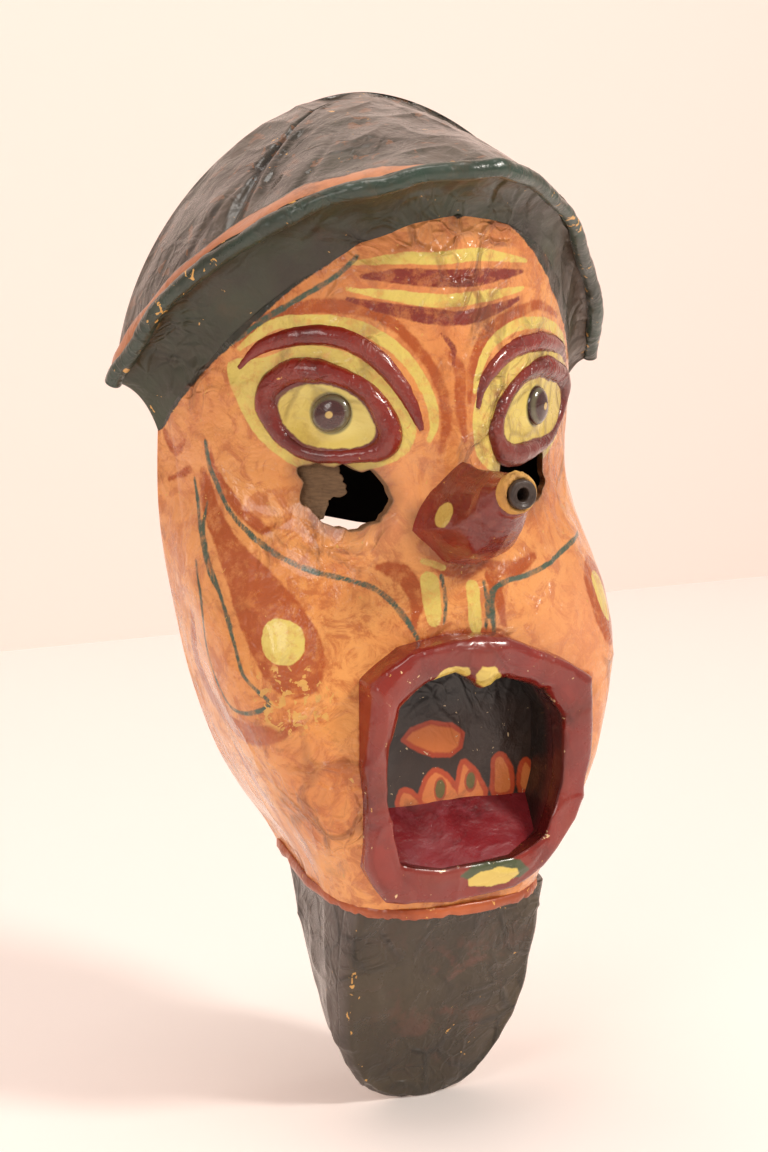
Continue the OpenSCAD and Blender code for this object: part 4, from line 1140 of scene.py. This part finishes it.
edge = reach(flap, middle, around) + 0.7 * lump(np.stack([around * 9, around * 0, around * 0], -1), 1.0, 91)
s_disc, z_disc = middle[0] + ring * edge * np.cos(around), middle[1] + ring * edge * np.sin(around)
sunk = -4.0 - 1.6 * np.clip((s_disc + 60) / 12, 0, 1) + 0.5 * crumple(on_face(s_disc, z_disc), 93, 0.6, 1.0,
    1.0)
disc_points, faces = disc_shell(on_face(s_disc, z_disc, sunk), on_face(s_disc, z_disc, sunk - 1.1))
make_piece("torn_flap", disc_points, faces, flap_card, ["sight_flap"])

# ---- Nose ----
# A faceted cone of card pasted over the middle of the face, hollow, with its point cut off for
# the tube. Maroon, with a lemon dot on its right cheek and a green one under the tip.
nose_wall, nose_end = 2.4, 134.0
nose_shape = np.array([  # depth, width, height, middle height
    [71.0, 50.0, 50.0, -8.0], [92.0, 41.0, 41.0, -6.0], [106.0, 34.5, 36.0, -4.2], [115.0, 30.0, 32.0, -2.0],
    [124.0, 23.5, 25.5, 2.6],
    [134.0, 16.8, 16.8, 8.0], [140.0, 16.8, 16.8, 8.0]])
corners = [(0.0, 0.52), (-0.30, 0.26), (-0.48, -0.12), (-0.22, -0.46), (0.10, -0.50), (0.38, -0.40),
    (0.50, -0.08), (0.30, 0.28)]
flat_x = np.linspace(-96, 96, 385)
depth_chart = np.stack([np.interp(flat_x, x[96:865], f[96:865]) for x, f in zip(chart_x, chart_f)])
turn = np.linspace(-np.pi, np.pi, 128, endpoint=False)
facet = reach(corners, (0, 0), turn, 0.65)


def nose_ring(f, turn_at, facet_at):
    w, h, c = (read_rows(nose_shape, f, i) for i in (1, 2, 3))
    round_off = np.clip((f - 118) / 16, 0, 1)
    r = facet_at * (1 - round_off) + 0.5 * round_off
    return np.stack([w * r * np.cos(turn_at), -f, c + h * r * np.sin(turn_at)], -1)


trial = np.linspace(72, nose_end, 300)[:, None]
trial_points = nose_ring(trial + 0 * turn, turn + 0 * trial, facet + 0 * trial)
clear = trial - read_chart(depth_chart, flat_x, chart_z, trial_points[..., 0], trial_points[..., 2])
start = trial[np.argmax(clear > -2.2, axis=0), 0]
f = start + (nose_end - start) * np.linspace(0, 1, 60)[:, None]
cone = nose_ring(f, turn + 0 * f, facet + 0 * f)
centre = np.stack([0 * f + 0 * turn, -f + 0 * turn, read_rows(nose_shape, f, 3) + 0 * turn], -1)
n = cone - centre
n /= np.linalg.norm(n, axis=-1, keepdims=True)
lift = crumple(cone, 101, 0.9, 0.7, 0.7) * np.clip((nose_end - f) / 6, 0.15, 1)
cone = cone + n * lift[..., None]
hollow = cone - n * nose_wall


def tube_shell(outer, inner):
    """A closed tube wall from its outer and inner grid of rings."""
    rows, columns = outer.shape[:2]
    k = rows * columns
    faces = quads(rows, columns, wrap_columns=True) + [f[::-1] for f in quads(rows, columns,
        wrap_columns=True, start=k)]
    for row in (0, rows - 1):
        r = row * columns
        faces += [(r + i, r + (i + 1) % columns, k + r + (i + 1) % columns,
            k + r + i) for i in range(columns)]
    return np.concatenate([outer.reshape(-1, 3), inner.reshape(-1, 3)]), faces


nose_maroon, tree, shader, place, colour = maroon_paint("nose_maroon", 1.5, 0.2)
streak = noise(tree, put(tree, "ShaderNodeMapping", {0: place, 3: (3.0, 0.5, 3.0)}).outputs[0], 90.0, 4.0,
    0.6)
colour = blend(tree, ramp(tree, streak, 0.5, 0.7, 0.0, 0.45), colour, rgb(150, 74, 58))
colour = blend(tree, brushed(tree, place, "green_dot", 0.8, 0.5), colour, rgb(52, 58, 44))
colour = blend(tree, brushed(tree, place, "lemon_dot", 0.6, 0.4), colour, rgb(206, 176, 88))
# Painted shade: the maroon goes nearly black at the foot of the nose, where it meets the face, and over its
# whole inner wall.
colour = blend(tree, ramp(tree, value_of(tree, "foot"), 0.4, 2.2, 0.75, 0.0), colour, rgb(40, 18, 14))
tree.links.new(colour, shader.inputs["Base Color"])
nose_points, faces = tube_shell(cone, hollow)
lemon = np.linalg.norm(nose_points - (-14.5, -103, -3.4), axis=1) - 5.4
green = np.linalg.norm(nose_points - (5.5, -115, -10), axis=1) - 5.0
# The foot values carry the painted shade at the nose's foot and inside it.
make_piece("nose", nose_points, faces, nose_maroon, ["nose_cone"], {
    "lemon_dot": lemon, "green_dot": green,
    "foot": np.concatenate([(f - start).ravel(), (f - start).ravel() - 9])})

# ---- Tube and torn collar in the nose tip ----
# A dark brown card tube pushed into the cut tip, for a reed or a smoke. Torn ochre paper, which
# once covered the joint, is left round it as a ragged collar.
tube_z = 9.0


def turned(profile, columns, ragged=0.0, seed=0):
    """Rings of a part turned about the nose axis, from its closed profile of (radius, depth)."""
    turn = np.linspace(0, 2 * np.pi, columns, endpoint=False)
    prof = np.array(profile, float)[:, None, :]
    flat = np.stack([np.cos(turn) * 3, np.sin(turn) * 3, 0 * turn], -1)
    r = prof[..., 0] * (1 + 0.012 * lump(flat, 1.5, seed + 7)) + 0 * turn
    d = prof[..., 1] + 0 * turn
    if ragged:
        tear = ragged * (lump(flat, 0.8, seed) + 0.6 * lump(flat, 0.35, seed + 1))
        d = d + tear * (prof[..., 1] == prof[..., 1].max())
        r = r + 0.5 * tear * (prof[..., 0] == prof[..., 0].max())
    return np.stack([r * np.cos(turn), -d, tube_z + r * np.sin(turn)], -1)


def turned_piece(name, rings, paint, node):
    rows, columns = rings.shape[:2]
    return make_piece(name, rings.reshape(-1, 3), quads(rows, columns, wrap_rows=True, wrap_columns=True),
        paint, [node])


tube_brown, tree, shader, place, paper = new_paint("tube_brown", 0.4, 0.2, 0.2, 2.2, 1.0, 0.0007)
colour = blend(tree, paper.outputs["Tone"], rgb(92, 76, 64), rgb(56, 42, 34))
tree.links.new(blend(tree, noise(tree, place, 700.0, 4.0), rgb(44, 34, 28), colour),
    shader.inputs["Base Color"])
turned_piece("nose_reed_tube", turned([
    (2.5, 125), (6, 125), (6, 133), (6, 138), (5.9, 140.6), (5.6, 141.5), (5.0, 141.95), (4.3, 141.7),
    (3.9, 141.1), (3.5, 141.2), (3.0, 141.0),
    (2.6, 140.3), (2.5, 139), (2.5, 132)], 72, 0, 3), tube_brown, "nose_tube")
collar_ochre, tree, shader, place, paper = new_paint("collar_ochre", 0.55, 0.1, 0.3, 2.0, 1.6, 0.0008)
colour = blend(tree, paper.outputs["Tone"], rgb(232, 188, 100), rgb(196, 142, 70))
tree.links.new(wash(tree, paper.outputs["Grime"], 0.9, colour, rgb(110, 66, 34)), shader.inputs["Base Color"])
turned_piece("torn_collar", turned([
    (6.02, 133.5), (8.3, 133.5), (8.7, 134.6), (8.4, 136.2), (8.0, 137.6), (7.4, 138.6), (6.9, 139.2),
    (6.02, 138.4)], 120, 0.75, 21),
    collar_ochre, "nose_collar")

# ---- Lips ----
# A frame of folded card pasted round the open mouth, thick and glossy, painted purple maroon with
# lemon dabs on the upper lip and in the middle of the lower one.
lip_depth, lip_slope, mouth_mid = 109.0, 11.0 / 112.0, (2.0, -110.0)
lips = [(x * mouth_w, mouth_z + z * mouth_h) for x, z in (
    (-0.43, 0.36), (-0.28, 0.47), (-0.10, 0.50), (0.12, 0.49), (0.28, 0.42), (0.50, 0.30), (0.52, 0.00),
    (0.47, -0.26),
    (0.33, -0.43), (0.20, -0.49), (-0.10, -0.50), (-0.33, -0.47), (-0.42, -0.34), (-0.45, 0.05))]
gape_notched = gape[:2] + [(-9, -68.5), (-2.5, -71.5), (3, -76.5), (9, -73.5)] + gape[3:]
turn = np.linspace(-np.pi, np.pi, 300, endpoint=False)
lip_out, lip_in = reach(lips, mouth_mid, turn, 0.8), reach(gape_notched, mouth_mid, turn, 0.85)
gape_in = reach(gape, mouth_mid, turn, 0.8)
profile = np.array([  # way across from outside to inside, way out from the face, seat depth under it
    [0.00, 0.0, -2.0], [0.00, 0.25, 0], [0.01, 0.55, 0], [0.03, 0.75, 0], [0.08, 0.88, 0], [0.16, 0.95, 0],
    [0.26, 0.985, 0],
    [0.38, 1.0, 0], [0.5, 1.0, 0], [0.62, 0.985, 0], [0.74, 0.94, 0], [0.84, 0.86, 0], [0.92, 0.74, 0],
    [0.97, 0.58, 0],
    [0.995, 0.35, 0], [1.0, 0.1, 0], [1.0, 0.0, -2.0], [1.0, 0.0, -5.5]])
fine = np.linspace(0, len(profile) - 1, 64)
profile = np.stack([np.interp(fine, np.arange(len(profile)), profile[:, i]) for i in range(3)], -1)
across = profile[:, 0][:, None]
r = lip_out * (1 - across) + lip_in * across
x, z = mouth_mid[0] + r * np.cos(turn), mouth_mid[1] + r * np.sin(turn)
seat = read_chart(depth_chart, flat_x, chart_z, x, z)
crest = np.maximum(lip_depth - lip_slope * (mouth_z + mouth_h / 2 - z), seat + 3.2)
crest = crest + 0.8 * np.sin(turn * 5 + 0.6) * np.exp(-((across - 0.4) / 0.4) ** 2)
d = seat + (crest - seat) * profile[:, 1][:, None] + profile[:, 2][:, None]
band_grid = np.stack([x, -d, z], -1)
n = np.cross(np.roll(band_grid, -1, 1) - np.roll(band_grid, 1, 1), np.gradient(band_grid, axis=0))
n /= np.linalg.norm(n, axis=-1, keepdims=True) + 1e-9
n *= np.sign(-n[30, :, 1]).mean() if np.sign(-n[30, :, 1]).mean() else 1
lift = crumple(band_grid, 111, 0.9, 0.8, 0.9) * np.clip(profile[:, 1][:, None] * 2, 0, 1)
band_grid = band_grid + n * lift[..., None]

lip_maroon, tree, shader, place, colour = maroon_paint("lip_maroon", 0.8, 0.18)
colour = blend(tree, ramp(tree, noise(tree, place, 30.0, 4.0), 0.45, 0.7, 0.0, 0.35), colour,
    rgb(118, 42, 44))
colour = blend(tree, brushed(tree, place, "green_dab", 0.8, 0.6), colour, rgb(76, 86, 56))
colour = blend(tree, brushed(tree, place, "lemon_dab", 0.7, 0.4), colour, rgb(224, 198, 100))
colour = blend(tree, flakes(tree, place, ramp(tree, value_of(tree, "crest"), 0.0, 1.0, 0.06, 0.3), 0.9),
    colour, rgb(232, 200, 150))
colour = blend(tree, ramp(tree, value_of(tree, "inward"), 0.0, 1.0, 0.0, 0.8), colour, rgb(52, 16, 16))
tree.links.new(colour, shader.inputs["Base Color"])
lip_points = band_grid.reshape(-1, 3)
dabs = [[(-20, -70), (-17, -66), (-11, -64.5), (-6, -66), (-4, -69), (-6, -72), (-13, -73), (-18, -73)],
        [(-2, -69), (0, -65.5), (6, -66.5), (11, -71), (11, -75), (6, -77), (0, -74)], [(26, -81), (31, -80),
    (36, -83), (34, -85), (29, -83)],
        [(-2, -157), (4, -154.5), (12, -153.5), (21, -155), (23, -158), (18, -161), (9, -162), (-1, -160)]]
lemon = np.min([distance_to_patch(lip_points[:, 0], lip_points[:, 2], dab) for dab in dabs], axis=0)
green = distance_to_patch(lip_points[:, 0], lip_points[:, 2], [(-6, -155), (2, -150), (11, -148.5),
    (23, -152), (28, -157), (24, -160), (0, -158)])
faces = quads(64, 300, wrap_rows=True, wrap_columns=True)
make_piece("lips", lip_points, faces, lip_maroon, ["lip_ring"], {
    "lemon_dab": lemon, "green_dab": green,
    "crest": np.clip((profile[:, 0][:, None] - 0.75) * 4 + 0 * turn, 0, 1) * (profile[:, 1][:, None] > 0.5),
    "inward": np.clip((profile[:, 0][:, None] - 0.93) * 14 + 0 * turn, 0, 1)})

# ---- Lining of the mouth ----
# A short tunnel of card from the lips back to a flat panel, painted near black, with the maroon of
# the lips carried a little way in.
back_depth, liner_t = 74.0, 2.2
rows = np.linspace(0, 1, 26)[:, None]
x_in, z_in = mouth_mid[0] + gape_in * np.cos(turn), mouth_mid[1] + gape_in * np.sin(turn)
mouth_seat = read_chart(depth_chart, flat_x, chart_z, x_in, z_in) - 3.0
d = back_depth + (mouth_seat - back_depth) * rows
tunnel = np.stack([x_in + 0 * d, -d, z_in + 0 * d], -1)
toward = np.stack([np.cos(turn), 0 * turn, np.sin(turn)], -1)[None]
wobble = 0.45 * crumple(tunnel, 121)[..., None] * np.sin(np.pi * rows)[..., None]
tunnel_points, faces = tube_shell(tunnel + toward * (liner_t - 0.2), tunnel + toward * (0.25 + wobble))
mouth_dark, tree, shader, place, paper = new_paint("mouth_dark", 0.3, 0.3, 0.15, 1.2, 1.2, 0.0011)
colour = blend(tree, paper.outputs["Tone"], rgb(30, 25, 22), rgb(44, 28, 20))
colour = blend(tree, ramp(tree, value_of(tree, "forward"), 0.45, 0.95, 0.0, 0.9), colour, rgb(84, 24, 26))
colour = blend(tree, flakes(tree, place, 0.2, 0.7), colour, rgb(112, 82, 52))
tree.links.new(colour, shader.inputs["Base Color"])
make_piece("mouth_tunnel", tunnel_points, faces, mouth_dark, ["mouth_liner"],
           {"forward": np.tile((rows + 0 * turn).ravel(), 2)})

# ---- Painted panel at the back of the mouth ----
# A flat card painted dark brown, with an orange tongue tip and a row of flame-shaped teeth.
ring = np.linspace(0.0, 1, 90)[:, None]
x, z = mouth_mid[0] + ring * (gape_in + 1.6) * np.cos(turn), mouth_mid[1] + ring * (gape_in
    + 1.6) * np.sin(turn)
panel = np.stack([x, -back_depth + 0 * x, z], -1)
panel[..., 1] -= 0.5 * crumple(panel, 131)
back = panel.copy()
back[..., 1] = -back_depth + liner_t
panel_points, faces = disc_shell(panel, back)
teeth = [[(-20, -131), (-19, -124), (-14, -125), (-9, -131)], [(-9, -131), (-9, -123), (-4, -116.5),
    (2, -119), (6, -124), (9, -131)],
         [(8, -131), (8, -122), (10, -114.5), (14, -117), (18, -122), (21, -131)], [(25, -130), (25, -122),
    (25, -115), (29, -113.5), (33, -119), (34, -130)],
         [(38, -130), (38, -120), (41, -117), (45, -123), (46, -130)]]
px, pz = panel_points[:, 0], panel_points[:, 2]
tooth = np.min([distance_to_patch(px, pz, rounded(t, 3).tolist()) for t in teeth], axis=0)
almond = np.minimum(np.hypot((px + 0.5) / 0.55, pz + 125) - 4.0, np.hypot((px - 14) / 0.6,
    pz + 123) - 3.8) * 0.7
tongue = distance_to_patch(px, pz, [(-18, -102), (-14, -98), (-5, -96), (5, -98), (10, -102), (9, -108),
    (4, -111), (-4, -110), (-12, -106)])
bare_side = panel_points[:, 1] > -back_depth + liner_t / 2
tooth, almond, tongue = [np.where(bare_side, 12.0, far) for far in (tooth, almond, tongue)]
panel_brown, tree, shader, place, paper = new_paint("panel_brown", 0.34, 0.25, 0.18, 1.1, 1.0, 0.001)
colour = blend(tree, paper.outputs["Tone"], rgb(58, 40, 30), rgb(38, 28, 24))
height = put(tree, "ShaderNodeSeparateXYZ", {0: place}).outputs[2]
colour = blend(tree, ramp(tree, height, -0.094, -0.084, 0.0, 0.85), colour, rgb(20, 17, 16))
for key, wide, ink, soft in (("tooth", 1.2, rgb(196, 74, 30), 0.5), ("tongue", 1.1, rgb(186, 66, 26), 0.5),
                             ("tooth", -1.1, rgb(222, 130, 66), 0.5), ("tongue", -1.0, rgb(218, 122, 52),
    0.6),
                             ("almond", 0.9, rgb(176, 66, 30), 0.4), ("almond", 0.0, rgb(92, 96, 44), 0.4)):
    shifted = calc(tree, "SUBTRACT", value_of(tree, key), wide)
    colour = wash(tree, brushed(tree, place, shifted, 0.5, soft), 0.92, colour, ink)
colour = wash(tree, paper.outputs["Grime"], 0.5, colour, rgb(44, 26, 18))
colour = blend(tree, flakes(tree, place, 0.12, 0.7), colour, rgb(214, 190, 150))
tree.links.new(colour, shader.inputs["Base Color"])
make_piece("mouth_panel", panel_points, faces, panel_brown, ["mouth_back"],
           {"tooth": tooth, "almond": almond, "tongue": tongue})

# ---- Floor of the mouth ----
# A sloping card from the foot of the teeth down to the lower lip, in glossy crimson with lighter pink
# blotches.
floor_back_z, floor_front_z = mouth_z - 0.18 * mouth_h, mouth_z - 0.37 * mouth_h
f = np.linspace(back_depth - 0.5, 99.5, 60)[:, None]
z_floor = floor_back_z + (floor_front_z - floor_back_z) * (f - back_depth) / (face_depth - back_depth)
edge = rounded(gape, 12)
left, right = edge[edge[:, 0] < 2], edge[edge[:, 0] > 2]
left, right = left[np.argsort(left[:, 1])], right[np.argsort(right[:, 1])]
x_left, x_right = np.interp(z_floor, left[:, 1], left[:, 0]) - 1.2, np.interp(z_floor, right[:, 1],
    right[:, 0]) + 1.2
x = x_left + (x_right - x_left) * np.linspace(0, 1, 110)[None, :]
floor_top = np.stack([x, -f + 0 * x, z_floor + 0 * x], -1)
floor_top[..., 2] += 0.6 * crumple(floor_top, 141, 1.0, 0.8, 0.5) + 0.8 * np.sin(np.linspace(0, np.pi,
    110))[None, :] - 0.9
floor_low = np.stack([x, -f + 0 * x, z_floor - liner_t + 0 * x], -1)
floor_points, faces = shell_between(floor_top, floor_low)
floor_crimson, tree, shader, place, paper = new_paint("floor_crimson", 0.24, 0.45, 0.1, 1.4, 0.9, 0.0007)
colour = blend(tree, paper.outputs["Tone"], rgb(140, 38, 44), rgb(104, 24, 30))
colour = blend(tree, ramp(tree, noise(tree, place, 150.0, 5.0, 0.7), 0.48, 0.7, 0.0, 0.6), colour,
    rgb(146, 66, 74))
tree.links.new(wash(tree, paper.outputs["Grime"], 0.6, colour, rgb(60, 20, 22)), shader.inputs["Base Color"])
make_piece("mouth_floor_card", floor_points, faces, floor_crimson, ["mouth_floor"])

# ---- Strip over the chin joint ----
# A pasted strip of paper that covers the joint of the face and the beard, painted with the skin.
u = np.linspace(-1, 1, 400)[None, :]
rows = np.linspace(0, 1, 9)[:, None]
low = np.full(u.shape, chin_joint_z)
for _ in range(5):
    low = chin_joint_z + chin_slope * face_section(u, low)[1]
ragged = lump(np.stack([u[0] * 160, 0 * u[0], 0 * u[0]], -1), 4.5, 151)[None, :]
z = low + 1.2 - (4.4 + 0.5 * ragged) * rows
x, f = face_section(u, low + 0 * z)
strip = np.stack([x, -f, z + 0 * x], -1)
n = grid_normals(strip)
n[..., 2] = 0
n /= np.linalg.norm(n, axis=-1, keepdims=True)
n = np.where(((n * strip).sum(-1) < 0)[..., None], -n, n)
swell = (0.4 + 0.7 * np.sin(np.pi * rows) + 0.3 * ragged) * np.clip((1 - np.abs(u)) * 30, 0, 1)
strip_back = strip - n * 3.0
strip = strip + n * swell[..., None]
strip[..., 1], strip_back[..., 1] = np.minimum(strip[..., 1], 0), np.minimum(strip_back[..., 1], 0)
strip_points, faces = shell_between(strip, strip_back)
strip_orange, tree, shader, place, paper = new_paint("strip_orange", 0.35, 0.3, 0.15, 1.4, 1.0, 0.001)
colour = blend(tree, paper.outputs["Tone"], rgb(190, 96, 44), rgb(150, 66, 30))
colour = blend(tree, flakes(tree, place, 0.2, 0.8), colour, ochre_primer)
tree.links.new(wash(tree, paper.outputs["Grime"], 0.9, colour, rgb(66, 34, 22)), shader.inputs["Base Color"])
make_piece("chin_joint_strip", strip_points, faces, strip_orange, ["chin_strip"])

# ---- Beard ----
# A long spade of the same pasted paper hung under the chin: a nearly flat front sheet with a
# pressed crease down each side, and two side sheets that run back to the open rear edge.
beard_half_w, beard_drop, beard_wall, beard_shift = 47.0, 92.0, 3.2, 6.0
beard_top_depth, beard_tip_depth = 72.0, 47.0
beard_rows = np.array([
    [0.00, 0.22, 0.98], [0.02, 0.40, 0.95], [0.06, 0.56, 0.90], [0.13, 0.71, 0.84], [0.22, 0.83, 0.77],
    [0.34, 0.92, 0.67],
    [0.50, 0.97, 0.53], [0.70, 1.00, 0.32], [0.90, 1.00, 0.12], [1.25, 0.98, -0.1]])
levels = np.linspace(0, 1.25, 140)
sections = []
for b in levels:
    w, k = beard_half_w * np.interp(b, beard_rows[:, 0], beard_rows[:, 1]), beard_tip_depth * np.interp(b,
        beard_rows[:, 0], beard_rows[:, 2])
    f, k = beard_tip_depth + (beard_top_depth - beard_tip_depth) * b, max(k, 0.0)
    bend = k + (f - k) * 0.8
    line = rounded([(-0.9 * w, k), (-0.96 * w, (k + bend) / 2), (-w, bend), (-w + 4, f), (-w * 0.5, f + 1.4),
        (0, f + 2), (w * 0.5, f + 1.4),
                    (w - 4, f), (w, bend), (0.96 * w, (k + bend) / 2), (0.9 * w, k)], 10, closed=False)
    sections.append(line)
sections = np.array(sections)
columns = sections.shape[1]
top_z = -163.2 + chin_slope * sections[110, :, 1]
z = -270 + (top_z + 270) * (np.linspace(0, 1, 150)[:, None] ** 1.15)
b = (z + sight_height) / beard_drop + 1
x = np.stack([np.interp(b[:, i], levels, sections[:, i, 0]) for i in range(columns)], 1) + beard_shift
f = np.stack([np.interp(b[:, i], levels, sections[:, i, 1]) for i in range(columns)], 1)
beard = np.stack([x, -f, z], -1)
n = grid_normals(beard)
ridge = 1.1 * np.exp(-((np.abs(np.arange(columns) - 50) - 20) / 1.6) ** 2)[None, :]
lift = (crumple(beard, 161, 1.1, 0.8, 0.9) + ridge - 0.3) * np.clip((z + 270) / 8, 0, 1)
beard = beard + n * lift[..., None]
beard_back = beard - n * beard_wall
beard[..., 1], beard_back[..., 1] = np.minimum(beard[..., 1], 0), np.minimum(beard_back[..., 1], 0)
beard_back[..., 2] = np.maximum(beard_back[..., 2], -269.9)
beard[..., 2] = np.maximum(beard[..., 2], -270)

beard_green, tree, shader, place, paper = new_paint("beard_green", 0.24, 0.4, 0.14, 1.0, 1.4, 0.0014)
colour = blend(tree, paper.outputs["Tone"], rgb(70, 58, 36), rgb(52, 42, 26))
scuff = noise(tree, place, 48.0, 8.0, 0.72, 0.4)
colour = wash(tree, ramp(tree, scuff, 0.5, 0.62), value_of(tree, "scuffed"), colour, rgb(98, 60, 44))
colour = wash(tree, value_of(tree, "side"), 0.6, colour, rgb(84, 74, 70))
# Painted shade in the paper's creases.
colour = wash(tree, paper.outputs["Crease_Shade"], 0.5, colour, rgb(30, 30, 24))
colour = blend(tree, flakes(tree, place, value_of(tree, "creased"), 1.0), colour, ochre_primer)
tree.links.new(colour, shader.inputs["Base Color"])
place_at = np.arange(columns)[None, :] + 0 * z
beard_values = {
    "scuffed": 0.85 * np.exp(-((beard[..., 0] - 12) / 30) ** 2 - ((beard[..., 2] + 215) / 40) ** 2),
    "side": np.clip((np.abs(place_at - 50) - 20) / 4, 0, 1),
    "creased": 0.05 + 0.34 * np.exp(-((np.abs(place_at - 50) - 20) / 2.2) ** 2) * (place_at < 50)}
for name, a, b, node in (("beard_sheet", 22, 78, "beard_front"), ("beard_side_sheet_right", 0, 22,
    "beard_side_right"),
                         ("beard_side_sheet_left", 78, columns - 1, "beard_side_left")):
    beard_points, faces = shell_between(beard[:, a:b + 1], beard_back[:, a:b + 1])
    make_piece(name, beard_points, faces, beard_green, [node],
               {key: np.tile(data[:, a:b + 1].ravel(), 2) for key, data in beard_values.items()})
